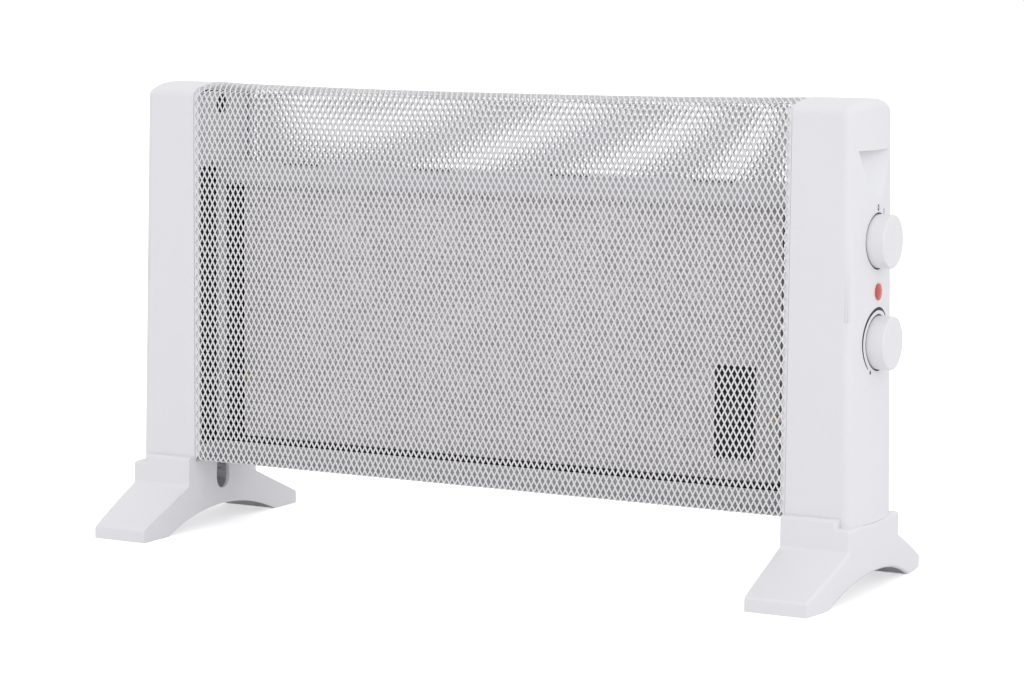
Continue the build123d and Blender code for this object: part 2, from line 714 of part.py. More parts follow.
def foot():
    """Moulded foot, hollow under its arch, with lips that hold the end cover."""
    far = HALF_BAY + TOE_REACH + FOOT_BOW + FOOT_WALL
    tall = 2 * COVER_FOOT
    body = along_x(foot_profile(0, 0), HALF_BAY - 1, far) & extrude(foot_plan(0), tall)
    upper = [e for e in body.edges() if e.center().Z > TOE_HIGH - 1]
    body = fillet([e for e in upper if e.center().X > HALF_BAY + 1], FOOT_ROUND)
    hollow = along_x(foot_profile(FOOT_WALL, -2 * ARCH_RISE), HALF_BAY, far)
    hollow &= extrude(foot_plan(FOOT_WALL), tall)
    hollow &= block(HALF_BAY, far, -TOE_HALF + TOE_PAD, TOE_HALF - TOE_PAD, -1, COVER_FOOT)
    body -= hollow
    for side in (-1, 1):
        near, outer = side * (HALF_DEPTH + FIT_GAP), side * BLOCK_HALF
        lip = block(
            HALF_BAY, HALF_BAY + FOOT_LIP_REACH, min(near, outer), max(near, outer),
            COVER_FOOT - FOOT_LIP_ROOT, FOOT_LIP_HIGH,
        )
        rounded = [
            e for e in lip.edges()
            if e.center().X > HALF_BAY + FOOT_LIP_REACH - 0.1 and abs(e.center().Y - outer) < 0.1
            or e.center().Z > FOOT_LIP_HIGH - 0.1 and abs(e.center().Y - outer) < 0.1
        ]
        body += fillet(rounded, FOOT_ROUND)
    half, round_z, back = SLOT_WIDE / 2, SLOT_LOW + SLOT_WIDE / 2, HALF_BAY + FOOT_WALL + 1
    body -= block(HALF_BAY - 1, back, -half, half, round_z, COVER_FOOT + 1)
    body -= rod_x(SLOT_WIDE, HALF_BAY - 1, back, 0, round_z)
    for y in (-FOOT_SCREW_Y, FOOT_SCREW_Y):
        boss = Pos(HALF_BAY + FOOT_SCREW_IN, y, foot_boss_low())
        body += boss * Cylinder(FOOT_BOSS / 2, FOOT_BOSS_TALL - FIT_GAP, align=GROW_UP)
        body -= boss * Cylinder(FOOT_SCREW / 2 + FIT_GAP, FOOT_BOSS_TALL + FOOT_LIP_UP, align=GROW_UP)
    return body


def foot_boss_low():
    """Height of the seat for the foot screw's head."""
    return COVER_FOOT - FOOT_BOSS_TALL


def foot_screws():
    """Screws from below through the foot into the cover's floor."""
    made = []
    for y in (-FOOT_SCREW_Y, FOOT_SCREW_Y):
        seat = Pos(HALF_BAY + FOOT_SCREW_IN, y, foot_boss_low())
        head = seat * Cylinder(FOOT_SCREW_HEAD / 2, FOOT_SCREW_HEAD_HIGH, align=GROW_DOWN)
        long = FOOT_BOSS_TALL + FOOT_SCREW_LONG - FOOT_SCREW_SHY
        made.append(head + seat * Cylinder(FOOT_SCREW / 2, long, align=GROW_UP))
    return made


def knob(z):
    """Knob: flat face, straight skirt that dips into the well, hub with a D bore."""
    low, face = knob_seat(z) + KNOB_LIFT, face_x(z) + KNOB_PROUD
    outside = rod_x(KNOB_WIDE, low, face, 0, z)
    outside = fillet(outside.edges().group_by(Axis.X)[-1], KNOB_ROUND)
    outside -= rod_x(KNOB_WIDE - 2 * KNOB_SKIRT, low - 1, face - KNOB_SKIRT, 0, z)
    hub = rod_x(KNOB_HUB, low + 2, face - KNOB_SKIRT, 0, z)
    bore = along_x(d_section(SHAFT_FIT / 2, z), low - 1, shaft_end(z) + FIT_GAP)
    return outside + hub - bore


def d_section(extra, z):
    """D outline of a control shaft, grown by extra."""
    radius = SHAFT / 2 + extra
    flat = SHAFT / 2 - SHAFT_FLAT + extra
    return Pos(0, z) * (Circle(radius) - Pos(0, flat + radius) * Rectangle(3 * radius, 2 * radius))


def shaft_end(z):
    """Place along X of the tip of a control shaft, inside the knob."""
    return face_x(z) + KNOB_PROUD - 2 * KNOB_SKIRT


def bush_end(z):
    """Place along X of the outer end of a control's bush."""
    return knob_seat(z) + KNOB_LIFT / 2


def body_front(z):
    """Place along X of the outer side of a control's body, against the cover."""
    return knob_seat(z) - WELL_FLOOR - FIT_GAP / 2


def shaft(z):
    """D shaft that turns with the knob; the round part runs in the bush."""
    start = body_front(z) - SHAFT_SEAT
    round_part = rod_x(SHAFT, start, bush_end(z), 0, z)
    return round_part + along_x(d_section(0, z), bush_end(z), shaft_end(z))


def control_body(z, wide, high, deep):
    """Body of a switch or thermostat with its bush, bored for the shaft."""
    front = body_front(z)
    body = block(front - deep, front, -wide / 2, wide / 2, z - high / 2, z + high / 2)
    body = fillet(body.edges().filter_by(Axis.X), CONTROL_BODY_ROUND)
    body += rod_x(CONTROL_BUSH, front, bush_end(z), 0, z)
    body -= rod_x(SHAFT + 2 * SHAFT_FIT, front - SHAFT_SEAT - FIT_GAP, bush_end(z) + 1, 0, z)
    for y in (-CONTROL_SCREW_SPREAD / 2, CONTROL_SCREW_SPREAD / 2):
        body -= rod_x(CONTROL_SCREW + 2 * SCREW_FIT, front - CONTROL_SCREW_IN - 1, front + 1, y, z)
    return body


def control_screws():
    """Two screws for each control, their heads in the well under the knob."""
    made = []
    for z in (SELECTOR_Z, THERMOSTAT_Z):
        seat = knob_seat(z)
        for y in (-CONTROL_SCREW_SPREAD / 2, CONTROL_SCREW_SPREAD / 2):
            head = rod_x(CONTROL_SCREW_HEAD, seat, seat + CONTROL_SCREW_HEAD_HIGH, y, z)
            made.append(head + rod_x(CONTROL_SCREW, body_front(z) - CONTROL_SCREW_IN, seat, y, z))
    return made


def lamp_lens():
    """Pilot lamp lens: low dome over a flange, with a neck in the cover's hole."""
    radius, neck = LAMP_WIDE / 2, LAMP_BARREL / 2
    sphere = arc_radius(radius, LAMP_PROUD - LAMP_FLANGE)
    between = LAMP_PROUD - sphere + math.sqrt(sphere**2 - (radius / 2) ** 2)
    rim = Polyline(
        (0, LAMP_PROUD), (0, -LAMP_NECK), (neck, -LAMP_NECK), (neck, LAMP_SEAT), (radius, LAMP_SEAT),
        (radius, LAMP_FLANGE),
    )
    dome = ThreePointArc((radius, LAMP_FLANGE), (radius / 2, between), (0, LAMP_PROUD))
    profile = Plane.XZ * make_face(rim + dome)
    return Pos(face_x(LAMP_Z), 0, LAMP_Z) * Rot(0, 90, 0) * revolve(profile, Axis.Z)


def lamp_body():
    """Neon holder behind the lens."""
    start = face_x(LAMP_Z) - LAMP_NECK - FIT_GAP
    holder = rod_x(LAMP_BARREL, start - LAMP_BARREL_LONG, start, 0, LAMP_Z)
    collar = start - FIT_GAP
    return holder + rod_x(LAMP_COLLAR, collar - LAMP_COLLAR_THICK, collar, 0, LAMP_Z)


def terminal_block():
    """Three-way terminal block against the right liner."""
    start, half = boss_end(), BLOCK_DEEP / 2
    body = block(start, start + BLOCK_WIDE, -half, half, BLOCK_Z, BLOCK_Z + BLOCK_WAYS * BLOCK_PITCH)
    for way in range(BLOCK_WAYS):
        for y in (-half / 2, half / 2):
            body -= rod_x(BLOCK_WAY_HOLE, start + BLOCK_WIDE / 2, start + BLOCK_WIDE + 1, y, way_z(way))
    return body


def way_z(way):
    """Height of one way of the terminal block."""
    return BLOCK_Z + BLOCK_PITCH * (way + 0.5)


def cord_bush():
    """Round bush in the rear wall of the right cover, where a supply cord would enter."""
    place = Pos(HALF_BAY + BUSH_IN, HALF_DEPTH, BUSH_Z) * Rot(-90, 0, 0)
    bush = place * Cylinder(BUSH_FLANGE / 2, BUSH_FLANGE_HIGH, align=GROW_UP)
    bush += place * Cylinder(BUSH_HOLE / 2, BUSH_NECK, align=GROW_DOWN)
    return bush - place * Cylinder(BUSH_BORE / 2, 4 * BUSH_NECK)


def tilt_x0():
    """Place along X of the side of the tilt switch that faces the liner."""
    return boss_end() + TILT_STANDOFF


def tilt_pin_z():
    """Height of the pin that the pendulum hangs on."""
    return TILT_Z + TILT_TALL - TILT_WALL - TILT_PIN_DROP


def tilt_switch():
    """Open frame of the tilt switch: two side walls, floor and roof, with feet on the liner."""
    x0, x1, half = tilt_x0(), tilt_x0() + TILT_WIDE, TILT_DEEP / 2
    low, high = TILT_Z, TILT_Z + TILT_TALL
    frame = block(x0, x1, -half, half, low, high)
    frame -= block(
        x0 + TILT_WALL, x1 - TILT_WALL, -half - 1, half + 1, low + TILT_WALL, high - TILT_WALL,
    )
    frame -= rod_x(TILT_PIN + 2 * SCREW_FIT, x0 - 1, x1 + 1, 0, tilt_pin_z())
    return frame + block(boss_end(), x0, -half, half, TILT_Z, TILT_Z + TILT_WALL)


def tilt_pin():
    """Pin that the pendulum hangs on."""
    start = tilt_x0()
    return rod_x(TILT_PIN, start - TILT_PIN_PROUD, start + TILT_WIDE + TILT_PIN_PROUD, 0, tilt_pin_z())


def pendulum():
    """Pendulum of the tilt switch: an eye round the pin, an arm and a round bob."""
    middle = tilt_x0() + TILT_WIDE / 2
    z = tilt_pin_z()
    near, far, half = middle - TILT_ARM / 2, middle + TILT_ARM / 2, TILT_ARM_DEEP / 2
    body = rod_x(TILT_EYE, near, far, 0, z)
    body += block(near, far, -half, half, z - TILT_BOB_DROP, z)
    body += rod_x(TILT_BOB, middle - TILT_BOB_LONG / 2, middle + TILT_BOB_LONG / 2, 0, z - TILT_BOB_DROP)
    return body - rod_x(TILT_PIN + 2 * SHAFT_FIT, middle - TILT_ARM, middle + TILT_ARM, 0, z)


def lead(points, radius):
    """Sleeved lead through these points: straight runs joined by tangent arcs."""
    path = FilletPolyline(*points, radius=radius)
    start = Plane(origin=path @ 0, z_dir=path % 0)
    return sweep(start * Circle(LEAD / 2), path=path)


def lug_y():
    """Place along Y of the middle of the ring lug, which lies on the terminal's nut."""
    return -outer_sheet_inside() - MICA_SHEET - TERMINAL_NUT_HIGH - LUG_SHEET / 2


def ring_lug():
    """Ring lug on the element's terminal, with a tail and a barrel that the lead is crimped in."""
    x, z = terminal_places()[1]
    barrel = x + LUG_REACH
    ring = along_y(Pos(x, z) * Circle(TERMINAL_NUT / 2), lug_y() - LUG_SHEET / 2, lug_y() + LUG_SHEET / 2)
    tail = block(
        x + TERMINAL_STUD, barrel + 1, lug_y() - LUG_SHEET / 2, lug_y() + LUG_SHEET / 2,
        z - LUG_TAIL / 2, z + LUG_TAIL / 2,
    )
    lug = ring + tail + rod_x(LUG_BARREL, barrel, barrel + LUG_BARREL_LONG, lug_y(), z)
    return lug - along_y(Pos(x, z) * Circle(TERMINAL_STUD / 2 + SCREW_FIT), lug_y() - 1, lug_y() + 1)


def grommet():
    """Rubber grommet in the liner's hole, which the element lead goes through."""
    front = HALF_BAY + PLATE_SHEET + FIT_GAP
    back = front + LINER_SHEET
    ring = rod_x(GROMMET_HOLE - 2 * SCREW_FIT, front, back, GROMMET_Y, TERMINAL_Z)
    wide = GROMMET_HOLE + 2 * GROMMET_LIP
    ring += rod_x(wide, front - GROMMET_LIP, front, GROMMET_Y, TERMINAL_Z)
    ring += rod_x(wide, back, back + GROMMET_LIP, GROMMET_Y, TERMINAL_Z)
    return ring - rod_x(LEAD + 2 * SCREW_FIT, front - 2, back + 2, GROMMET_Y, TERMINAL_Z)


def lead_to_liner(beyond):
    """Points of an element lead from its lug to the hole in the liner, and to a place beyond the liner."""
    x, z = terminal_places()[1]
    start = x + LUG_REACH + LUG_BARREL_LONG
    turn = start + 2 * LEAD_BEND
    return [(start, lug_y(), z), (turn, lug_y(), z), (turn + LEAD, GROMMET_Y, z), (beyond, GROMMET_Y, z)]


def switch_lead():
    """Element lead on the tilt switch's side: up behind the liner, to the edge of the switch's floor."""
    x, z = tilt_x0() + TILT_WIDE / 2, TILT_Z + TILT_WALL / 2
    return lead(lead_to_liner(x) + [(x, GROMMET_Y, z), (x, -TILT_DEEP / 2, z)], LEAD_BEND)


def block_lead():
    """Element lead on the controls' side: behind the liner, to the side of the terminal block."""
    x = boss_end() + BLOCK_WIDE / 2
    return lead(lead_to_liner(x) + [(x, -BLOCK_DEEP / 2, TERMINAL_Z)], LEAD_BEND)


def control_leads():
    """Leads from the terminal block's top way to the thermostat and to the selector."""
    start, side, low = boss_end() + BLOCK_WIDE / 2, BLOCK_DEEP / 4, way_z(BLOCK_WAYS - 1)
    below = THERMOSTAT_Z - THERMOSTAT_BODY_HIGH / 2
    back = body_front(THERMOSTAT_Z) - THERMOSTAT_BODY_DEEP / 2
    to_thermostat = lead([(start, -side, low), (back, -side, low), (back, -side, below)], 2 * LEAD_BEND)
    rear = body_front(SELECTOR_Z) - SELECTOR_BODY_DEEP
    up = start + BLOCK_WIDE / 2 + 2 * LEAD_BEND
    selector = [(start, side, low), (up, side, low), (up, side, SELECTOR_Z), (rear, side, SELECTOR_Z)]
    return [to_thermostat, lead(selector, (rear - up) / 2)]


def mirrored(shape):
    """Left-hand copy of a right-hand piece."""
    if isinstance(shape, list):
        return [mirror(item, about=Plane.YZ) for item in shape]
    return mirror(shape, about=Plane.YZ)


def origin_shift():
    """Move along X that puts the origin midway between the left foot and the thermostat knob's face."""
    left = HALF_BAY + TOE_REACH + FOOT_BOW
    right = face_x(THERMOSTAT_Z) + KNOB_PROUD
    return (left - right) / 2


def save(name, shape):
    """Write one node, moved to the shared origin."""
    items = shape if isinstance(shape, list) else [shape]
    solids = [Pos(origin_shift(), 0, 0) * solid for item in items for solid in item.solids()]
    made = solids[0] if len(solids) == 1 else Compound(children=solids)
    export_step(made, f"parts/{name}.step")


def main():
    os.makedirs("parts", exist_ok=True)
    save("left_end_cover", mirrored(end_cover()))
    save("right_end_cover", right_cover())
    pairs = {
        "foot": foot(), "end_plate": end_plate(), "liner": liner(),
        "cover_screws": cover_screws(), "foot_screws": foot_screws(),
    }
    for name, shape in pairs.items():
        save("right_" + name, shape)
        save("left_" + name, mirrored(shape))
    mesh = front_mesh()
    save("front_mesh", mesh)
    save("rear_mesh", mirror(mesh, about=Plane.XZ))
    save("top_rail", top_rail())
    save("bottom_rail", rail(BOTTOM_RAIL_LOW, BOTTOM_RAIL_HIGH, 1))
    save("upper_insulator", upper_insulator())
    save("lower_insulator", lower_insulator())
    inside = outer_sheet_inside()
    save("front_mica_board", board(-inside - MICA_SHEET, -inside, window=True))
    save("rear_mica_board", board(inside, inside + MICA_SHEET))
    save("mica_core", mica_core())
    save("heating_ribbon", heating_ribbon())
    save("board_eyelets", eyelets())
    save("left_ring_lug", mirrored(ring_lug()))
    save("right_ring_lug", ring_lug())
    save("left_element_lead", mirrored(switch_lead()))
    save("right_element_lead", block_lead())
    save("lead_grommets", [grommet(), mirrored(grommet())])
    save("element_terminals", terminals())
    save("cutout_bracket", cutout_bracket())
    save("thermal_cutout", thermal_cutout())
    save("selector_knob", knob(SELECTOR_Z))
    save("selector_shaft", shaft(SELECTOR_Z))
    selector_size = (SELECTOR_BODY, SELECTOR_BODY, SELECTOR_BODY_DEEP)
    save("selector_switch", control_body(SELECTOR_Z, *selector_size))
    save("thermostat_knob", knob(THERMOSTAT_Z))
    save("thermostat_shaft", shaft(THERMOSTAT_Z))
    thermostat_size = (THERMOSTAT_BODY_WIDE, THERMOSTAT_BODY_HIGH, THERMOSTAT_BODY_DEEP)
    save("thermostat", control_body(THERMOSTAT_Z, *thermostat_size))
    save("control_screws", control_screws())
    save("pilot_lamp_lens", lamp_lens())
    save("pilot_lamp_body", lamp_body())
    save("terminal_block", terminal_block())
    save("control_leads", control_leads())
    save("cord_bush", cord_bush())
    save("tilt_switch", mirrored(tilt_switch()))
    save("tilt_pin", mirrored(tilt_pin()))
    save("tilt_pendulum", mirrored(pendulum()))


main()
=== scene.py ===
"""The looks of a mica panel heater: its expanded-metal grille, its dial prints and the finish of every piece.

Lengths are in metres. X runs along the heater with the dials at +X, Y runs from front to rear, Z is up."""

import json
import logging
import math
from dataclasses import dataclass
from enum import Enum

import bpy
import numpy as np
from mathutils import Matrix, Vector


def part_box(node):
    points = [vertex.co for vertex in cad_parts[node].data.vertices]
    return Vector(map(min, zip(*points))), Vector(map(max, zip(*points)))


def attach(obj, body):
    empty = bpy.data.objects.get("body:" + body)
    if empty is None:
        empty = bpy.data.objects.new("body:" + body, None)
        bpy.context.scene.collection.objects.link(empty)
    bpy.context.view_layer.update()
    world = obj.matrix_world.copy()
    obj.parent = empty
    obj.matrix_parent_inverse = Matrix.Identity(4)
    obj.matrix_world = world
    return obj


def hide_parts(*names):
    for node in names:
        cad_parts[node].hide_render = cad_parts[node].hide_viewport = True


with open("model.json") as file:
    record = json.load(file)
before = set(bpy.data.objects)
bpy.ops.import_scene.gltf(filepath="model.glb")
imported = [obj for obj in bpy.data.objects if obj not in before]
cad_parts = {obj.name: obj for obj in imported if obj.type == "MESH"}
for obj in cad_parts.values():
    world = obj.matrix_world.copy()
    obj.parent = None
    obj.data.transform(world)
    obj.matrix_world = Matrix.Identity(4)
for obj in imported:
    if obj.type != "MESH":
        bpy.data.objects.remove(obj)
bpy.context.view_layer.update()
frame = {"nodes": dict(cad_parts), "record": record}

log = logging.getLogger("mica_heater")
MM = 0.001
ROOT_BODY = "heater"
TINY = 1e-12             # the least length that a direction is divided by

Colour = tuple[float, float, float]
Spot = tuple[float, float, float]


class Half(Enum):
    """The two halves of the rolled grille, by the sign of Y."""

    FRONT = -1
    REAR = 1


class Side(Enum):
    """The two ends of the heater, by the sign of X."""

    LEFT = -1
    RIGHT = 1


@dataclass(frozen=True)
class Reference:
    """Planes and heights read from the frame, which the pieces made here are placed by."""

    middle_x: float
    half_bay: float
    floor_z: float

    @staticmethod
    def read() -> "Reference":
        """Reads the grille's box for its middle along X and its half length, and a foot's for the floor.

        Returns:
            The reference.
        """
        low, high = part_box("front_mesh")
        foot_low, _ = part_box("right_foot")
        return Reference((low.x + high.x) / 2, (high.x - low.x) / 2, foot_low.z)


class NodeBoard:
    """A shader node tree with short calls for placing nodes and joining their sockets."""

    MASK_LOW = 0.3
    MASK_HIGH = 0.7

    def __init__(self, tree: bpy.types.NodeTree) -> None:
        """Keeps the tree.

        Args:
            tree: the material's or the group's node tree.
        """
        self.tree = tree

    def add(self, kind: str, **values: object) -> bpy.types.Node:
        """Places a node and sets its properties.

        Args:
            kind: Blender's name of the node type.
            values: properties of the node, such as operation="MULTIPLY".

        Returns:
            The new node.
        """
        node = self.tree.nodes.new(kind)
        for name, value in values.items():
            setattr(node, name, value)
        return node

    def join(self, source: bpy.types.NodeSocket, target: bpy.types.NodeSocket) -> None:
        """Joins an output to an input."""
        self.tree.links.new(source, target)

    def noise(self, place: bpy.types.NodeSocket, scale: float, detail: float = 3.0) -> bpy.types.Node:
        """Places a noise texture on the given coordinates.

        Args:
            place: the coordinates' socket.
            scale: noise cells per metre.
            detail: octaves.

        Returns:
            The noise node.
        """
        node = self.add("ShaderNodeTexNoise")
        node.inputs["Scale"].default_value = scale
        node.inputs["Detail"].default_value = detail
        self.join(place, node.inputs["Vector"])
        return node

    def shade(self, colour: bpy.types.NodeSocket, mask: bpy.types.NodeSocket, low: float,
              high: float) -> bpy.types.NodeSocket:
        """Multiplies a colour by a grey that runs from low to high over the middle of the mask's range.

        Args:
            colour: the colour's socket.
            mask: the mask's socket.
            low: the grey where the mask is MASK_LOW.
            high: the grey where the mask is MASK_HIGH.

        Returns:
            The shaded colour's socket.
        """
        span = self.add("ShaderNodeMapRange")
        span.inputs["From Min"].default_value = self.MASK_LOW
        span.inputs["From Max"].default_value = self.MASK_HIGH
        span.inputs["To Min"].default_value = low
        span.inputs["To Max"].default_value = high
        self.join(mask, span.inputs["Value"])
        scale = self.add("ShaderNodeVectorMath", operation="SCALE")
        self.join(colour, scale.inputs[0])
        self.join(span.outputs["Result"], scale.inputs["Scale"])
        return scale.outputs["Vector"]


class SharedGroups:
    """The shader groups that several finishes use, each built once."""

    WAVE_PER_METRE = 90.0
    WAVE_WEIGHT = 2.0
    RELIEF = 0.00012

    def __init__(self) -> None:
        """Builds the groups."""
        self.grain = self._grain()
        self.mottle = self._mottle()

    @staticmethod
    def _begin(name: str, inputs: dict[str, float | Colour], outputs: dict[str, str]
               ) -> tuple[bpy.types.NodeTree, NodeBoard, bpy.types.Node, bpy.types.Node]:
        """Starts a group with its sockets.

        Args:
            name: the group's name.
            inputs: name and default of each input, a number or a colour.
            outputs: name and socket type of each output.

        Returns:
            The tree, its board, the group's input node and its output node.
        """
        tree = bpy.data.node_groups.new(name, "ShaderNodeTree")
        for title, value in inputs.items():
            kind = "NodeSocketColor" if isinstance(value, tuple) else "NodeSocketFloat"
            socket = tree.interface.new_socket(title, in_out="INPUT", socket_type=kind)
            socket.default_value = (*value, 1.0) if isinstance(value, tuple) else value
        for title, kind in outputs.items():
            tree.interface.new_socket(title, in_out="OUTPUT", socket_type=kind)
        board = NodeBoard(tree)
        return tree, board, board.add("NodeGroupInput"), board.add("NodeGroupOutput")

    def _grain(self) -> bpy.types.NodeTree:
        """The fine relief of a moulded or sprayed face: a noise bump, with a coarser wave under it.

        Returns:
            The group, which gives a Normal.
        """
        tree, board, given, result = self._begin(
            "surface_grain", {"Scale": 1500.0, "Depth": 0.1}, {"Normal": "NodeSocketVector"})
        place = board.add("ShaderNodeTexCoord").outputs["Object"]
        fine = board.noise(place, 1500.0)
        board.join(given.outputs["Scale"], fine.inputs["Scale"])
        wave = board.noise(place, self.WAVE_PER_METRE, 1.0)
        both = board.add("ShaderNodeMath", operation="MULTIPLY_ADD")
        both.inputs[1].default_value = self.WAVE_WEIGHT
        board.join(wave.outputs["Fac"], both.inputs[0])
        board.join(fine.outputs["Fac"], both.inputs[2])
        bump = board.add("ShaderNodeBump")
        bump.inputs["Distance"].default_value = self.RELIEF
        board.join(given.outputs["Depth"], bump.inputs["Strength"])
        board.join(both.outputs["Value"], bump.inputs["Height"])
        board.join(bump.outputs["Normal"], result.inputs["Normal"])
        return tree

    def _mottle(self) -> bpy.types.NodeTree:
        """Slight cloudy variation of a colour and of its roughness.

        Returns:
            The group, which gives a Color and a Roughness.
        """
        tree, board, given, result = self._begin(
            "mottle", {"Color": (0.8, 0.8, 0.8), "Scale": 40.0, "Amount": 0.03, "Roughness": 0.5},
            {"Color": "NodeSocketColor", "Roughness": "NodeSocketFloat"})
        place = board.add("ShaderNodeTexCoord").outputs["Object"]
        cloud = board.noise(place, 40.0)
        board.join(given.outputs["Scale"], cloud.inputs["Scale"])
        centred = board.add("ShaderNodeMath", operation="SUBTRACT")
        centred.inputs[1].default_value = 0.5
        board.join(cloud.outputs["Fac"], centred.inputs[0])
        swing = board.add("ShaderNodeMath", operation="MULTIPLY")
        board.join(centred.outputs["Value"], swing.inputs[0])
        board.join(given.outputs["Amount"], swing.inputs[1])
        factor = board.add("ShaderNodeMath", operation="ADD")
        factor.inputs[1].default_value = 1.0
        board.join(swing.outputs["Value"], factor.inputs[0])
        tinted = board.add("ShaderNodeVectorMath", operation="SCALE")
        board.join(given.outputs["Color"], tinted.inputs[0])
        board.join(factor.outputs["Value"], tinted.inputs["Scale"])
        board.join(tinted.outputs["Vector"], result.inputs["Color"])
        rough = board.add("ShaderNodeMath", operation="ADD")
        board.join(given.outputs["Roughness"], rough.inputs[0])
        board.join(swing.outputs["Value"], rough.inputs[1])
        board.join(rough.outputs["Value"], result.inputs["Roughness"])
        return tree


@dataclass(frozen=True)
class Finish:
    """A plain surface finish: its colour, cloudiness, grain and gloss."""

    name: str
    colour: Colour
    roughness: float = 0.45
    cloud_scale: float = 30.0
    cloud: float = 0.03
    grain_scale: float = 1500.0
    grain: float = 0.12
    metallic: float = 0.0
    coat: float = 0.0

    def material(self, groups: SharedGroups) -> bpy.types.Material:
        """Builds the finish: mottled colour and roughness, grain bump, one Principled BSDF.

        Args:
            groups: the shared shader groups.

        Returns:
            The material.
        """
        made = bpy.data.materials.new(self.name)
        made.use_nodes = True
        board = NodeBoard(made.node_tree)
        shader = made.node_tree.nodes["Principled BSDF"]
        shader.inputs["Metallic"].default_value = self.metallic
        shader.inputs["Coat Weight"].default_value = self.coat
        mottle = board.add("ShaderNodeGroup", node_tree=groups.mottle)
        mottle.inputs["Color"].default_value = (*self.colour, 1.0)
        mottle.inputs["Scale"].default_value = self.cloud_scale
        mottle.inputs["Amount"].default_value = self.cloud
        mottle.inputs["Roughness"].default_value = self.roughness
        grain = board.add("ShaderNodeGroup", node_tree=groups.grain)
        grain.inputs["Scale"].default_value = self.grain_scale
        grain.inputs["Depth"].default_value = self.grain
        board.join(mottle.outputs["Roughness"], shader.inputs["Roughness"])
        board.join(grain.outputs["Normal"], shader.inputs["Normal"])
        self.colour_in(board, mottle.outputs["Color"], shader)
        return made

    def colour_in(self, board: NodeBoard, colour: bpy.types.NodeSocket, shader: bpy.types.Node) -> None:
        """Feeds the mottled colour to the shader; a finish with a pattern adds it here."""
        board.join(colour, shader.inputs["Base Color"])


@dataclass(frozen=True)
class MicaFinish(Finish):
    """Reconstituted mica: pressed flakes of grey with paler and browner ones, 1 to 3 mm across."""

    flakes_per_metre: float = 620.0
    low: float = 0.74
    high: float = 1.2
    stains_per_metre: float = 24.0
    stain_detail: float = 4.0
    stain_low: float = 0.92
    stain_high: float = 1.06

    def colour_in(self, board: NodeBoard, colour: bpy.types.NodeSocket, shader: bpy.types.Node) -> None:
        """Shades each Voronoi cell by its own random grey, and lays slow brown clouds over them.

        Args:
            board: the material's nodes.
            colour: the mottled base colour.
            shader: the Principled BSDF.
        """
        place = board.add("ShaderNodeTexCoord").outputs["Object"]
        flakes = board.add("ShaderNodeTexVoronoi")
        flakes.inputs["Scale"].default_value = self.flakes_per_metre
        board.join(place, flakes.inputs["Vector"])
        flecked = board.shade(colour, flakes.outputs["Color"], self.low, self.high)
        stain = board.noise(place, self.stains_per_metre, self.stain_detail)
        stained = board.shade(flecked, stain.outputs["Fac"], self.stain_low, self.stain_high)
        board.join(stained, shader.inputs["Base Color"])


@dataclass(frozen=True)
class LitLens(Finish):
    """A moulded lamp lens with a faint, even glow and the light and shade of upright prisms painted on."""

    glow: Colour = (0.95, 0.12, 0.03)
    glow_strength: float = 0.03
    ridges_per_metre: float = 1400.0
    ridge_low: float = 0.82
    ridge_high: float = 1.15

    def colour_in(self, board: NodeBoard, colour: bpy.types.NodeSocket, shader: bpy.types.Node) -> None:
        """Paints the light and shade of upright prisms on the lens as light and dark bands, and sets the
        glow.

        Args:
            board: the material's nodes.
            colour: the mottled base colour.
            shader: the Principled BSDF.
        """
        place = board.add("ShaderNodeTexCoord").outputs["Object"]
        # Painted light and shade of the prism facets: the colour is scaled up and down in upright bands.
        prisms = board.add("ShaderNodeTexWave", bands_direction="Y")
        prisms.inputs["Scale"].default_value = self.ridges_per_metre / math.tau
        board.join(place, prisms.inputs["Vector"])
        banded = board.shade(colour, prisms.outputs["Fac"], self.ridge_low, self.ridge_high)
        board.join(banded, shader.inputs["Base Color"])
        shader.inputs["Emission Color"].default_value = (*self.glow, 1.0)
        shader.inputs["Emission Strength"].default_value = self.glow_strength


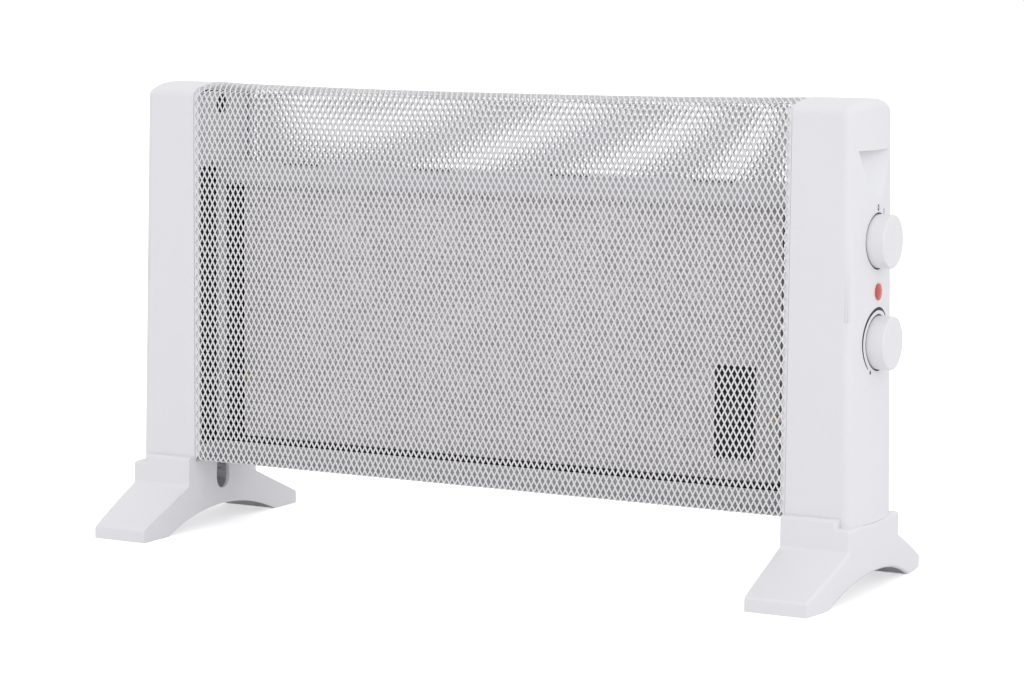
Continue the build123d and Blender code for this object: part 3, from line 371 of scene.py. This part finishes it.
@dataclass(frozen=True)
class Palette:
    """Every finish on the heater, one for each material slot of the record, and the ink, which also paints
    the shade in the dials' wells.
    """

    white_plastic: Finish = Finish("white_plastic", (0.83, 0.83, 0.865), 0.42, 18.0, 0.02, 2200.0, 0.1)
    foot_plastic: Finish = Finish("foot_plastic", (0.83, 0.83, 0.865), 0.45, 18.0, 0.02, 2200.0, 0.12)
    knob_plastic: Finish = Finish("knob_plastic", (0.83, 0.83, 0.86), 0.3, 30.0, 0.02, 2600.0, 0.05,
                                  coat=0.15)
    mesh_paint: Finish = Finish("mesh_paint", (0.82, 0.81, 0.83), 0.4, 60.0, 0.05, 900.0, 0.25)
    plate_paint: Finish = Finish("plate_paint", (0.78, 0.78, 0.79), 0.4, 30.0, 0.04, 900.0, 0.2)
    # black_paint also colours the band of painted shade in the gap round each end plate's head.
    black_paint: Finish = Finish("black_paint", (0.012, 0.012, 0.014), 0.55, 40.0, 0.1, 1200.0, 0.25)
    rail_paint: Finish = Finish("rail_paint", (0.62, 0.62, 0.635), 0.42, 40.0, 0.05, 900.0, 0.2)
    mica: Finish = MicaFinish("mica", (0.66, 0.64, 0.635), 0.38, 25.0, 0.08, 700.0, 0.3)
    # The insulator's near-black is partly its own colour and partly painted shade in the gap between the mica
    # boards and the bottom rail.
    insulator: Finish = Finish("insulator", (0.022, 0.022, 0.023), 0.8, 80.0, 0.12, 900.0, 0.5)
    ribbon_alloy: Finish = Finish("ribbon_alloy", (0.45, 0.41, 0.37), 0.38, 200.0, 0.12, 1500.0, 0.15,
                                  metallic=1.0)
    zinc: Finish = Finish("zinc", (0.66, 0.67, 0.69), 0.32, 250.0, 0.1, 1800.0, 0.15, metallic=1.0)
    brass: Finish = Finish("brass", (0.74, 0.56, 0.26), 0.28, 250.0, 0.1, 1800.0, 0.15, metallic=1.0)
    control_body: Finish = Finish("control_body", (0.075, 0.07, 0.066), 0.5, 60.0, 0.06, 1500.0, 0.2)
    block_plastic: Finish = Finish("block_plastic", (0.7, 0.69, 0.65), 0.45, 60.0, 0.04, 1800.0, 0.15)
    lamp_lens: Finish = LitLens("lamp_lens", (0.56, 0.045, 0.02), 0.22, 200.0, 0.05, 2600.0, 0.05, coat=0.4)
    bush_rubber: Finish = Finish("bush_rubber", (0.03, 0.03, 0.032), 0.62, 120.0, 0.1, 1500.0, 0.3)
    lead_sleeve: Finish = Finish("lead_sleeve", (0.76, 0.75, 0.72), 0.6, 300.0, 0.06, 2600.0, 0.5)
    print_ink: Finish = Finish("print_ink", (0.02, 0.02, 0.024), 0.55, 200.0, 0.08, 2600.0, 0.1)


class Workshop:
    """Makes pieces from arrays, dresses them and fastens them to a body."""

    def __init__(self) -> None:
        """Builds the shader groups; materials are made when a finish is first used."""
        self.groups = SharedGroups()
        self.palette = Palette()
        self.made: dict[str, bpy.types.Material] = {}

    def material(self, name: str) -> bpy.types.Material:
        """The material of a finish of the palette, made once.

        Args:
            name: the finish's name.

        Returns:
            The material.
        """
        if name not in self.made:
            self.made[name] = getattr(self.palette, name).material(self.groups)
        return self.made[name]

    def dress_frame(self) -> None:
        """Gives every carried-over piece the finish of its record slot."""
        slots = {part["node"]: part["material_slot"] for part in frame["record"]["subparts"]}
        for name, piece in frame["nodes"].items():
            finish = self.material(slots[name])
            for slot in piece.material_slots:
                slot.material = finish
            log.info("dressed %s in %s", name, finish.name)

    def piece(self, name: str, points: np.ndarray, faces: list, finish: str) -> bpy.types.Object:
        """Makes a mesh piece that rides on the heater's body.

        Args:
            name: the piece's name.
            points: one row of X, Y, Z for each corner, in the frame's place.
            faces: corner numbers of each face.
            finish: the palette's name of its finish.

        Returns:
            The new object.
        """
        mesh = bpy.data.meshes.new(name)
        mesh.from_pydata(np.asarray(points, float).tolist(), [], [tuple(face) for face in faces])
        mesh.update()
        made = bpy.data.objects.new(name, mesh)
        bpy.context.scene.collection.objects.link(made)
        made.data.materials.append(self.material(finish))
        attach(made, ROOT_BODY)
        log.info("made %s: %d faces", name, len(faces))
        return made

    def extrusion(self, name: str, outline: np.ndarray, low_x: float, high_x: float, finish: str
                  ) -> bpy.types.Object:
        """A closed outline in Y and Z carried straight along X, with an end face at each end.

        Args:
            name: the piece's name.
            outline: Y and Z of the outline's corners.
            low_x: where it starts.
            high_x: where it ends.
            finish: the palette's name of its finish.

        Returns:
            The piece.
        """
        outline = np.asarray(outline, float)
        after = np.roll(outline, -1, axis=0)
        if np.sum(outline[:, 0] * after[:, 1] - after[:, 0] * outline[:, 1]) < 0:
            outline = outline[::-1]
        count = len(outline)
        rows = [np.column_stack([np.full(count, x), outline]) for x in sorted((low_x, high_x))]
        ring = np.arange(count)
        turned = (ring + 1) % count
        sides = np.column_stack([ring, turned, turned + count, ring + count]).tolist()
        ends = [ring[::-1].tolist(), (ring + count).tolist()]
        return self.piece(name, np.vstack(rows), sides + ends, finish)


@dataclass
class GrillePath:
    """The outline that the sheet follows from the hem under the heater to the ridge, for Y above 0."""

    half_depth: float = 41.9 * MM
    low: float = 58.5 * MM
    ridge: float = 371.7 * MM
    hem: float = 14.0 * MM
    hem_bend: float = 1.6 * MM
    shoulder: float = 6.7 * MM
    crown_radius: float = 151.1 * MM
    ridge_gap: float = 0.15 * MM
    steps: int = 160
    least_run: float = 1e-9
    slope_reach: float = 0.25 * MM

    def __post_init__(self) -> None:
        """Lays out the line: a straight hem, a bend, the upright face, the shoulder arc and the crown
        arc, which meet in tangents. The crown circle stands on the middle plane, and the shoulder
        circle touches it from inside and touches the face."""
        crown_z = self.ridge - self.crown_radius
        shoulder_y = self.half_depth - self.shoulder
        reach = self.crown_radius - self.shoulder
        lean = math.asin(shoulder_y / reach)
        shoulder_z = crown_z + reach * math.cos(lean)
        bend_y, bend_z = self.half_depth - self.hem_bend, self.low + self.hem_bend
        turn = np.linspace(-math.pi / 2, 0.0, self.steps)
        roll = np.linspace(0.0, math.pi / 2 - lean, self.steps)
        last = math.asin(self.ridge_gap / self.crown_radius)
        crown = np.linspace(lean, last, self.steps)
        spans = [
            np.array([[self.half_depth - self.hem, self.low]]),
            np.column_stack([bend_y + self.hem_bend * np.cos(turn), bend_z + self.hem_bend * np.sin(turn)]),
            np.column_stack([shoulder_y + self.shoulder * np.cos(roll),
                             shoulder_z + self.shoulder * np.sin(roll)]),
            np.column_stack([self.crown_radius * np.sin(crown), crown_z + self.crown_radius * np.cos(crown)])]
        self.line = np.vstack(spans)
        runs = np.hypot(*np.diff(self.line, axis=0).T)
        keep = np.r_[True, runs > self.least_run]
        self.line = self.line[keep]
        self.along = np.r_[0.0, np.cumsum(np.hypot(*np.diff(self.line, axis=0).T))]
        self.shoulder_z = shoulder_z

    @property
    def length(self) -> float:
        """The outline's length."""
        return float(self.along[-1])

    def place(self, along: np.ndarray, lift: np.ndarray) -> tuple[np.ndarray, np.ndarray]:
        """Points at a distance along the outline, lifted off it along its outward normal.

        Args:
            along: distances from the hem's inner edge.
            lift: heights over the outline.

        Returns:
            Their Y and Z.
        """
        y = np.interp(along, self.along, self.line[:, 0])
        z = np.interp(along, self.along, self.line[:, 1])
        reach = self.slope_reach
        run_y = (np.interp(along + reach, self.along, self.line[:, 0])
                 - np.interp(along - reach, self.along, self.line[:, 0]))
        run_z = (np.interp(along + reach, self.along, self.line[:, 1])
                 - np.interp(along - reach, self.along, self.line[:, 1]))
        size = np.maximum(np.hypot(run_y, run_z), TINY)
        return y + lift * run_z / size, z - lift * run_y / size


@dataclass
class ExpandedGrille:
    """The expanded-metal grille: two rolled sheets of slit and stretched steel that meet at the ridge.

    The strands make a net of upright diamonds. Corners of the net have odd column plus row numbers,
    and the openings sit where the sum is even, half a pitch wide and tall on each side."""

    workshop: Workshop
    place: Reference
    columns: int = 105
    rows: int = 38
    gap_share: float = 0.75
    rear_gap_share: float = 0.5
    sheet: float = 0.5 * MM
    strand_lean: float = 0.25 * MM
    corner_lean: float = -0.5
    gap_leans: tuple[float, float, float, float] = (-0.35, 0.0, -0.35, -1.0)
    rear_skew: float = 6.0
    skew_power: int = 4
    sag: float = 2.9 * MM
    sag_power: float = 2.5

    def build(self) -> None:
        """Makes both halves and hides the plain solid of each."""
        for half in Half:
            grille = self._half(half)
            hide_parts(f"{half.name.lower()}_mesh")

    def _sagged(self, x: np.ndarray, z: np.ndarray, path: GrillePath) -> np.ndarray:
        """Heights with the crown's dip between the covers: none at the ends, most in the middle, and
        none below the shoulder.

        Args:
            x: places along the heater, from its middle.
            z: heights on the undipped outline.
            path: the outline.

        Returns:
            The lowered heights.
        """
        share = np.clip((z - path.shoulder_z) / (path.ridge - path.shoulder_z), 0.0, 1.0)
        dip = self.sag * (1.0 - np.abs(x / self.place.half_bay) ** self.sag_power)
        return z - dip * share

    def _half(self, half: Half) -> bpy.types.Object:
        """One half of the grille.

        The net is worked out flat, in columns along X and rows along the outline. Around each opening
        run four strand faces in front, four behind and four walls through the sheet. A strand leans:
        its front is proud above an opening and shy below it, as the stretched slits leave it. The rear
        net was cut a little askew: its columns lean by rear_skew pitches over its height, and stay
        upright at the two ends.

        Args:
            half: front or rear.

        Returns:
            The piece.
        """
        path = GrillePath()
        across, up = 2 * self.columns, 2 * self.rows
        net_col, net_row = np.meshgrid(np.arange(across + 1), np.arange(up + 1), indexing="ij")
        net_odd = (net_col + net_row) % 2 == 1
        corner_number = np.full(net_odd.shape, -1)
        corner_number[net_odd] = np.arange(net_odd.sum())
        corner_col, corner_row = net_col[net_odd], net_row[net_odd]
        inside = (~net_odd) & (net_col > 0) & (net_col < across) & (net_row > 0) & (net_row < up)
        hole_col, hole_row = net_col[inside], net_row[inside]
        step_col, step_row = np.array([1, 0, -1, 0]), np.array([0, 1, 0, -1])
        share = self.gap_share if half is Half.FRONT else self.rear_gap_share
        inner_col = (hole_col[:, None] + share * step_col).ravel()
        inner_row = (hole_row[:, None] + share * step_row).ravel()
        inner_lift = np.tile(np.array(self.gap_leans) * self.strand_lean, len(hole_col))
        flat_col = np.r_[corner_col, inner_col]
        flat_row = np.r_[corner_row, inner_row]
        front_lift = np.r_[np.full(len(corner_col), self.corner_lean * self.strand_lean), inner_lift]
        x = (flat_col / across - 0.5) * 2 * self.place.half_bay
        along = flat_row / up * path.length
        if half is Half.REAR:
            pitch = 2 * self.place.half_bay / self.columns
            free = 1.0 - np.abs(x / self.place.half_bay) ** self.skew_power
            x = x + self.rear_skew * pitch * (along / path.length - 0.5) * free
        layers = []
        for lift in (front_lift, front_lift - self.sheet):
            y, z = path.place(along, lift)
            z = self._sagged(x, z, path)
            layers.append(np.column_stack([x + self.place.middle_x, half.value * y, z]))
        points = np.vstack(layers)
        total = len(flat_col)
        corners = len(corner_col)
        ring = np.arange(4)
        after = (ring + 1) % 4
        outer = corner_number[hole_col[:, None] + step_col, hole_row[:, None] + step_row]
        inner = corners + 4 * np.arange(len(hole_col))[:, None] + ring
        front = np.stack([outer, outer[:, after], inner[:, after], inner], axis=-1).reshape(-1, 4)
        wall = np.stack([inner, inner[:, after], inner[:, after] + total, inner + total],
                        axis=-1).reshape(-1, 4)
        back = front[:, ::-1] + total
        faces = [front, back, wall]
        fill_front, rim = self._border(corner_number, across, up)
        rim_walls = np.column_stack([rim[:, 1], rim[:, 0], rim[:, 0] + total, rim[:, 1] + total])
        if half is Half.REAR:
            faces = [face[:, ::-1] for face in faces]
            fill_front = fill_front[:, ::-1]
            rim_walls = rim_walls[:, ::-1]
        everything = [face.tolist() for face in faces]
        everything += [fill_front.tolist(), (fill_front[:, ::-1] + total).tolist(), rim_walls.tolist()]
        return self.workshop.piece(f"{half.name.lower()}_grille", points, sum(everything, []), "mesh_paint")

    @staticmethod
    def _border(number: np.ndarray, across: int, up: int) -> tuple[np.ndarray, np.ndarray]:
        """The solid margin: a triangle in each notch along the four edges, and the edges themselves.

        Args:
            number: the net corners' numbers by column and row.
            across: the last column.
            up: the last row.

        Returns:
            The triangles and the rim's corner pairs. Both run counter-clockwise seen from outside the
            front, but for the last four pairs, at the net's cut corners, which run clockwise.
        """
        rows = np.arange(2, up, 2)
        cols = np.arange(2, across, 2)
        left = np.column_stack([number[0, rows - 1], number[1, rows], number[0, rows + 1]])
        right = np.column_stack([number[across, rows + 1], number[across - 1, rows],
                                 number[across, rows - 1]])
        low = np.column_stack([number[cols + 1, 0], number[cols, 1], number[cols - 1, 0]])
        high = np.column_stack([number[cols - 1, up], number[cols, up - 1], number[cols + 1, up]])
        fills = np.vstack([left, right, low, high])
        ends = [(number[1, 0], number[0, 1]), (number[across, 1], number[across - 1, 0]),
                (number[0, up - 1], number[1, up]), (number[across - 1, up], number[across, up - 1])]
        return fills, np.vstack([fills[:, [2, 0]], ends])


@dataclass
class EndCoverFace:
    """The bowed outer face of the right end cover, which the dial prints lie on."""

    place: Reference
    reach: float = 51.1 * MM
    flare: float = 0.02
    foot: float = 55.0 * MM
    bow: float = 6.5 * MM
    half_depth: float = 42.2 * MM
    cover_bay: float = 266.0 * MM

    def x(self, y: np.ndarray, z: np.ndarray) -> np.ndarray:
        """The face's X: its edge leans inwards with height, and a circular bow stands on the edges.

        Args:
            y: places across the face.
            z: heights.

        Returns:
            The X of each point.
        """
        radius = (self.half_depth ** 2 + self.bow ** 2) / (2 * self.bow)
        edge = self.cover_bay + self.reach - self.flare * (z - self.foot)
        return self.place.middle_x + edge + self.bow - radius + np.sqrt(radius ** 2 - y ** 2)


@dataclass
class DialPrintsAndWellShade:
    """The printed marks round the two dials, plain numbers at the selector, a swelling arc and a
    frost mark at the thermostat, and a black ring of painted shade in the gap of each dial's well."""

    workshop: Workshop
    face: EndCoverFace
    selector_z: float = 266.0 * MM
    thermostat_z: float = 190.0 * MM
    mark_radius: float = 25.0 * MM
    mark_angles: tuple[float, float, float] = (0.0, 30.0, 60.0)
    number_tall: float = 4.2 * MM
    stroke: float = 0.75 * MM
    arc_radius: float = 25.4 * MM
    arc_from: float = 42.0
    arc_to: float = -137.0
    arc_wide: float = 2.7 * MM
    arc_thin: float = 0.5 * MM
    arc_points: int = 97
    swell_share: float = 0.18
    swell_start: float = 0.3
    fade_power: float = 0.7
    frost_step: float = 10.0
    frost_angles: tuple[float, float, float] = (0.0, 60.0, 120.0)
    frost_reach: float = 1.6 * MM
    frost_stroke: float = 0.45 * MM
    frost_points: int = 5
    ink_high: float = 0.12 * MM
    well_radius: float = 20.85 * MM
    well_wide: float = 0.95 * MM
    well_sink: float = 0.45 * MM
    well_points: int = 73

    def build(self) -> None:
        """Prints the numbers, the arc and the frost mark, and lays black rings of painted shade in the wells'
        gaps round the knobs.
        """
        turn = np.linspace(0.0, math.tau, self.well_points)
        # The black ring in each well is painted shade: it darkens the gap between the knob and its well.
        for name, centre_z in (("selector", self.selector_z), ("thermostat", self.thermostat_z)):
            line = self.well_radius * np.column_stack([np.sin(turn), np.cos(turn)]) + [0.0, centre_z]
            self._band(f"{name}_well_ring", line, np.full(len(line), self.well_wide), self.well_sink)
        for digit, angle in enumerate(self.mark_angles):
            self._number(digit, angle)
        self._arc()
        self._frost_mark()

    def _band(self, name: str, middle: np.ndarray, wide: np.ndarray, sink: float = 0.0) -> bpy.types.Object:
        """A flat band of ink, for a print and for painted shade: its middle line offset to each side by
        half its width, laid on the bowed face, with a thin wall all round.

        Args:
            name: the piece's name.
            middle: Y and Z of the middle line, one row a point.
            wide: the band's width at each point.
            sink: how far it lies below the face.

        Returns:
            The piece.
        """
        run = np.gradient(middle, axis=0)
        if np.allclose(middle[0], middle[-1]):
            run[[0, -1]] = middle[1] - middle[-2]
        run /= np.maximum(np.hypot(run[:, 0], run[:, 1]), TINY)[:, None]
        side = np.column_stack([-run[:, 1], run[:, 0]]) * wide[:, None] / 2
        edges = np.stack([middle - side, middle + side], axis=1).reshape(-1, 2)
        x = self.face.x(edges[:, 0], edges[:, 1]) - sink
        top = np.column_stack([x + self.ink_high, edges])
        foot = np.column_stack([x - self.ink_high, edges])
        count = len(edges)
        i = np.arange(0, count - 2, 2)
        face = np.column_stack([i, i + 1, i + 3, i + 2])
        rims = np.vstack([np.column_stack([i + 2, i]), np.column_stack([i + 1, i + 3]),
                          [[0, 1]], [[count - 1, count - 2]]])
        walls = np.column_stack([rims[:, 1], rims[:, 0], rims[:, 0] + count, rims[:, 1] + count])
        faces = face[:, ::-1].tolist() + (face + count).tolist() + walls[:, ::-1].tolist()
        return self.workshop.piece(name, np.vstack([top, foot]), faces, "print_ink")

    def _number(self, digit: int, angle: float) -> None:
        """Prints 0, 1 or 2 outside the selector, at an angle clockwise from the top.

        The 0 is an ellipse, the 1 a straight stroke, and the 2 an arc that runs out to a foot.

        Args:
            digit: which number.
            angle: its place round the dial, in degrees.
        """
        tall = self.number_tall / 2
        if digit == 0:
            turn = np.linspace(0.0, math.tau, 33)
            line = np.column_stack([0.5 * tall * np.sin(turn), tall * np.cos(turn)])
        elif digit == 1:
            line = np.column_stack([np.zeros(9), np.linspace(tall, -tall, 9)])
        else:
            bowl = np.linspace(math.radians(160), math.radians(-40), 17)
            curve = np.column_stack([0.5 * tall * np.cos(bowl), 0.45 * tall + 0.5 * tall * np.sin(bowl)])
            line = np.vstack([curve, [[-0.5 * tall, -tall], [0.55 * tall, -tall]]])
        place = math.radians(angle)
        centre = np.array([self.mark_radius * math.sin(place),
                           self.selector_z + self.mark_radius * math.cos(place)])
        self._band(f"selector_mark_{digit}", line + centre, np.full(len(line), self.stroke))

    def _arc(self) -> None:
        """The heat arc: a band round the thermostat that swells soon after its hot end and thins
        towards the cold end."""
        turn = np.radians(np.linspace(self.arc_from, self.arc_to, self.arc_points))
        share = np.linspace(0.0, 1.0, self.arc_points)
        swell = np.clip(share / self.swell_share, self.swell_start, 1.0)
        wide = self.arc_thin + (self.arc_wide - self.arc_thin) * swell * (1 - share) ** self.fade_power
        centre = np.array([0.0, self.thermostat_z])
        line = self.arc_radius * np.column_stack([np.sin(turn), np.cos(turn)]) + centre
        self._band("thermostat_arc", line, wide)

    def _frost_mark(self) -> None:
        """Three short crossed strokes beside the arc's cold end."""
        place = math.radians(self.arc_to - self.frost_step)
        centre = np.array([math.sin(place), math.cos(place)]) * self.arc_radius + [0.0, self.thermostat_z]
        reach = np.linspace(-self.frost_reach, self.frost_reach, self.frost_points)[:, None]
        for number, turn in enumerate(np.radians(self.frost_angles)):
            self._band(f"frost_mark_{number}", centre + reach * [math.sin(turn), math.cos(turn)],
                       np.full(len(reach), self.frost_stroke))


@dataclass
class HemFlanges:
    """The two folded flanges that carry the grille's hems from the bottom rail."""

    workshop: Workshop
    place: Reference
    outer_y: float = 40.2 * MM
    rail_y: float = 9.1 * MM
    low: float = 59.2 * MM
    sheet: float = 0.7 * MM
    upturn: float = 3.8 * MM
    shy: float = 3.0 * MM

    def build(self) -> None:
        """Folds the front and the rear flange: a flat from the hem to the rail, turned up along it."""
        top = self.low + self.sheet
        for half in Half:
            outline = np.array([
                [self.outer_y, self.low], [self.outer_y, top], [self.rail_y + self.sheet, top],
                [self.rail_y + self.sheet, self.low + self.upturn],
                [self.rail_y, self.low + self.upturn], [self.rail_y, self.low]]) * [half.value, 1.0]
            reach = self.place.half_bay - self.shy
            self.workshop.extrusion(f"{half.name.lower()}_hem_flange", outline, self.place.middle_x - reach,
                                    self.place.middle_x + reach, "rail_paint")


@dataclass
class PlateTrim:
    """Small parts on the end plates that show through the grille: pressed spring clips, pilot holes and
    a black band of painted shade in the gap round the plate's head.

    The places of the clips are Y and Z in millimetres, those of the pilot holes Y, Z and width. Depths
    are millimetres off the plate's face, where each round or rim starts and ends."""

    workshop: Workshop
    place: Reference
    strip_face: float = 266.0 * MM
    holes: tuple[Spot, Spot] = ((-16.6, 350.7, 3.0), (11.4, 352.2, 3.6))
    hole_depths: tuple[float, float] = (0.02, 0.12)
    hole_points: int = 24
    clips: tuple[tuple[float, float], ...] = ((0.2, 144.5), (-2.0, 106.6), (-14.0, 306.0))
    clip_long: float = 9.0 * MM
    clip_wide: float = 5.5 * MM
    clip_high: float = 2.6 * MM
    clip_sheet: float = 0.6 * MM
    clip_hump: float = 0.6
    clip_points: int = 25
    head_half: float = 38.0 * MM
    head_top: float = 364.5 * MM
    head_low: float = 303.0 * MM
    head_corner: float = 8.0 * MM
    corner_points: int = 12
    rim_wide: float = 1.5 * MM
    rim_gap: float = 0.1 * MM
    rim_depths: tuple[float, float] = (0.2, 0.8)

    def build(self) -> None:
        """Fits the band of painted shade round the head, two pilot holes and three spring clips to each end
        plate.
        """
        for side in Side:
            end = side.name.lower()
            self._rim(side)
            for number, (y, z, wide) in enumerate(self.holes, 1):
                self._pilot_hole(f"{end}_pilot_hole_{number}", side, y * MM, z * MM, wide * MM)
            for number, (y, z) in enumerate(self.clips, 1):
                self._clip(f"{end}_spring_clip_{number}", side, y * MM, z * MM)

    def _arch(self, off: float) -> np.ndarray:
        """The head's outline, grown: up one side, two quarter rounds and down the other side.

        Args:
            off: how far it is grown.

        Returns:
            Y and Z of its corners.
        """
        turn = np.linspace(math.pi, math.pi / 2, self.corner_points)
        radius = self.head_corner + off
        left = np.column_stack([radius * np.cos(turn) - (self.head_half - self.head_corner),
                                radius * np.sin(turn) + self.head_top - self.head_corner])
        line = np.vstack([[-self.head_half - off, self.head_low], left])
        return np.vstack([line, line[::-1] * [-1.0, 1.0]])

    def _rim(self, side: Side) -> None:
        """Painted shade in the gap round the head: a black band between two grown outlines of the head,
        behind its face.

        Args:
            side: the end plate it goes round.
        """
        # A black band of painted shade: it darkens the gap round the plate's head.
        band = np.vstack([self._arch(self.rim_gap), self._arch(self.rim_gap + self.rim_wide)[::-1]])
        near, far = (self.place.middle_x + side.value * (self.strip_face + deep * MM)
                     for deep in self.rim_depths)
        self.workshop.extrusion(f"{side.name.lower()}_liner_rim", band, near, far, "black_paint")

    def _pilot_hole(self, name: str, side: Side, y: float, z: float, wide: float) -> None:
        """A small black round on the plate, where a pilot hole opens on the liner.

        Args:
            name: the piece's name.
            side: the end plate it is in.
            y: its place across the plate.
            z: its height.
            wide: its diameter.
        """
        turn = np.linspace(0.0, math.tau, self.hole_points, endpoint=False)
        disc = np.column_stack([y + wide / 2 * np.cos(turn), z + wide / 2 * np.sin(turn)])
        near, far = (self.place.middle_x + side.value * (self.strip_face - deep * MM)
                     for deep in self.hole_depths)
        self.workshop.extrusion(name, disc, near, far, "black_paint")

    def _clip(self, name: str, side: Side, y: float, z: float) -> None:
        """A spring clip: a strip whose height over the plate follows half a sine wave between two flat
        feet, carried across its width.

        Args:
            name: the piece's name.
            side: the end plate it sits on.
            y: its place across the plate.
            z: its height.
        """
        along = np.linspace(-1.0, 1.0, self.clip_points)
        humped = np.abs(along) < self.clip_hump
        hump = np.where(humped, np.cos(along / self.clip_hump * math.pi / 2), 0.0) * self.clip_high
        rise = np.concatenate([hump, (hump + self.clip_sheet)[::-1]])
        length = np.concatenate([along, along[::-1]]) * self.clip_long / 2
        count = len(rise)
        x = self.place.middle_x + side.value * (self.strip_face - rise)
        rows = [np.column_stack([x, np.full(count, y + edge * self.clip_wide), z + length])
                for edge in (-0.5, 0.5)]
        ring = np.arange(count)
        after = (ring + 1) % count
        walls = np.column_stack([ring, after, after + count, ring + count])
        half = np.arange(self.clip_points - 1)
        cap = np.column_stack([half, half + 1, count - 2 - half, count - 1 - half])
        faces = [walls[:, ::-1], cap, cap[:, ::-1] + count]
        if side is Side.RIGHT:
            faces = [face[:, ::-1] for face in faces]
        self.workshop.piece(name, np.vstack(rows), np.vstack(faces).tolist(), "plate_paint")


@dataclass
class Studio:
    """Plain studio: a pale floor, a white surround and soft lamps."""

    place: Reference
    surround: float = 0.92
    floor_size: float = 30.0
    floor_drop: float = 0.05 * MM
    floor_colour: Colour = (0.86, 0.86, 0.87)
    floor_roughness: float = 0.9
    floor_specular: float = 0.1
    floor_glow: float = 0.55
    key_place: Spot = (2.8, -1.6, 1.4)
    key_size: float = 2.2
    key_power: float = 12.0
    top_place: Spot = (0.2, -0.6, 3.0)
    top_size: float = 2.4
    top_power: float = 1.0
    lamp_aim: Spot = (0.0, 0.0, 0.2)
    camera_place: Spot = (1.12208, -2.08291, 0.44643)
    camera_yaw: float = 0.4921
    camera_dip: float = 0.1162
    camera_roll: float = 0.0083
    camera_lens: float = 104.889
    camera_sensor: float = 36.0
    camera_near: float = 0.05
    camera_far: float = 60.0

    def build(self) -> None:
        """Sets the view transform, the world, the floor, the lamps and the camera."""
        bpy.context.scene.view_settings.view_transform = "Standard"
        self._world()
        self._floor()
        self._lamp("key_lamp", self.key_place, self.key_size, self.key_power)
        self._lamp("top_lamp", self.top_place, self.top_size, self.top_power)
        self._camera()

    def _world(self) -> None:
        """A white surround: full white to the camera and through glass, softer as light and in
        reflections."""
        world = bpy.data.worlds.new("surround")
        bpy.context.scene.world = world
        world.use_nodes = True
        board = NodeBoard(world.node_tree)
        back = world.node_tree.nodes["Background"]
        back.inputs["Color"].default_value = (1.0, 1.0, 1.0, 1.0)
        rays = board.add("ShaderNodeLightPath")
        seen = board.add("ShaderNodeMath", operation="MAXIMUM")
        board.join(rays.outputs["Is Camera Ray"], seen.inputs[0])
        board.join(rays.outputs["Is Transmission Ray"], seen.inputs[1])
        level = board.add("ShaderNodeMapRange")
        level.inputs["To Min"].default_value = self.surround
        level.inputs["To Max"].default_value = 1.0
        board.join(seen.outputs["Value"], level.inputs["Value"])
        board.join(level.outputs["Result"], back.inputs["Strength"])

    def _floor(self) -> None:
        """A pale floor that keeps the heater's soft shadow and is white elsewhere to the camera."""
        bpy.ops.mesh.primitive_plane_add(size=self.floor_size,
                                         location=(0.0, 0.0, self.place.floor_z - self.floor_drop))
        floor = bpy.context.object
        floor.name = "studio_floor"
        made = bpy.data.materials.new("studio_floor")
        made.use_nodes = True
        board = NodeBoard(made.node_tree)
        shader = made.node_tree.nodes["Principled BSDF"]
        shader.inputs["Base Color"].default_value = (*self.floor_colour, 1.0)
        shader.inputs["Roughness"].default_value = self.floor_roughness
        shader.inputs["Specular IOR Level"].default_value = self.floor_specular
        shader.inputs["Emission Color"].default_value = (1.0, 1.0, 1.0, 1.0)
        rays = board.add("ShaderNodeLightPath")
        glow = board.add("ShaderNodeMath", operation="MULTIPLY")
        glow.inputs[1].default_value = self.floor_glow
        board.join(rays.outputs["Is Camera Ray"], glow.inputs[0])
        board.join(glow.outputs["Value"], shader.inputs["Emission Strength"])
        floor.data.materials.append(made)

    def _lamp(self, name: str, spot: Spot, size: float, power: float) -> None:
        """A square soft lamp that points at the heater's middle.

        Args:
            name: the lamp's name.
            spot: where it stands.
            size: the side of its square.
            power: watts.
        """
        light = bpy.data.lights.new(name, "AREA")
        light.size = size
        light.energy = power
        lamp = bpy.data.objects.new(name, light)
        bpy.context.scene.collection.objects.link(lamp)
        lamp.location = spot
        lamp.rotation_euler = (Vector(self.lamp_aim) - Vector(spot)).to_track_quat("-Z", "Y").to_euler()

    def _camera(self) -> None:
        """The camera at the photograph's angle: it looks along its forward vector, which has a yaw and
        a dip, and it is rolled a little about it."""
        yaw, dip, roll = self.camera_yaw, self.camera_dip, self.camera_roll
        forward = Vector((-math.sin(yaw) * math.cos(dip), math.cos(yaw) * math.cos(dip), -math.sin(dip)))
        level = Vector((math.cos(yaw), math.sin(yaw), 0.0))
        upright = level.cross(forward)
        right = math.cos(roll) * level + math.sin(roll) * upright
        up = -math.sin(roll) * level + math.cos(roll) * upright
        lens = bpy.data.cameras.new("studio_camera")
        lens.lens = self.camera_lens
        lens.sensor_width = self.camera_sensor
        lens.clip_start = self.camera_near
        lens.clip_end = self.camera_far
        camera = bpy.data.objects.new("studio_camera", lens)
        bpy.context.scene.collection.objects.link(camera)
        turn = Matrix((right, up, -forward)).transposed()
        camera.matrix_world = Matrix.Translation(self.camera_place) @ turn.to_4x4()
        bpy.context.scene.camera = camera


def main() -> None:
    """Builds the studio, dresses the carried-over pieces and adds the modelled ones."""
    logging.basicConfig(level=logging.INFO, format="%(name)s: %(message)s")
    place = Reference.read()
    workshop = Workshop()
    Studio(place).build()
    workshop.dress_frame()
    ExpandedGrille(workshop, place).build()
    DialPrintsAndWellShade(workshop, EndCoverFace(place)).build()
    HemFlanges(workshop, place).build()
    PlateTrim(workshop, place).build()


if __name__ == "__main__":
    main()
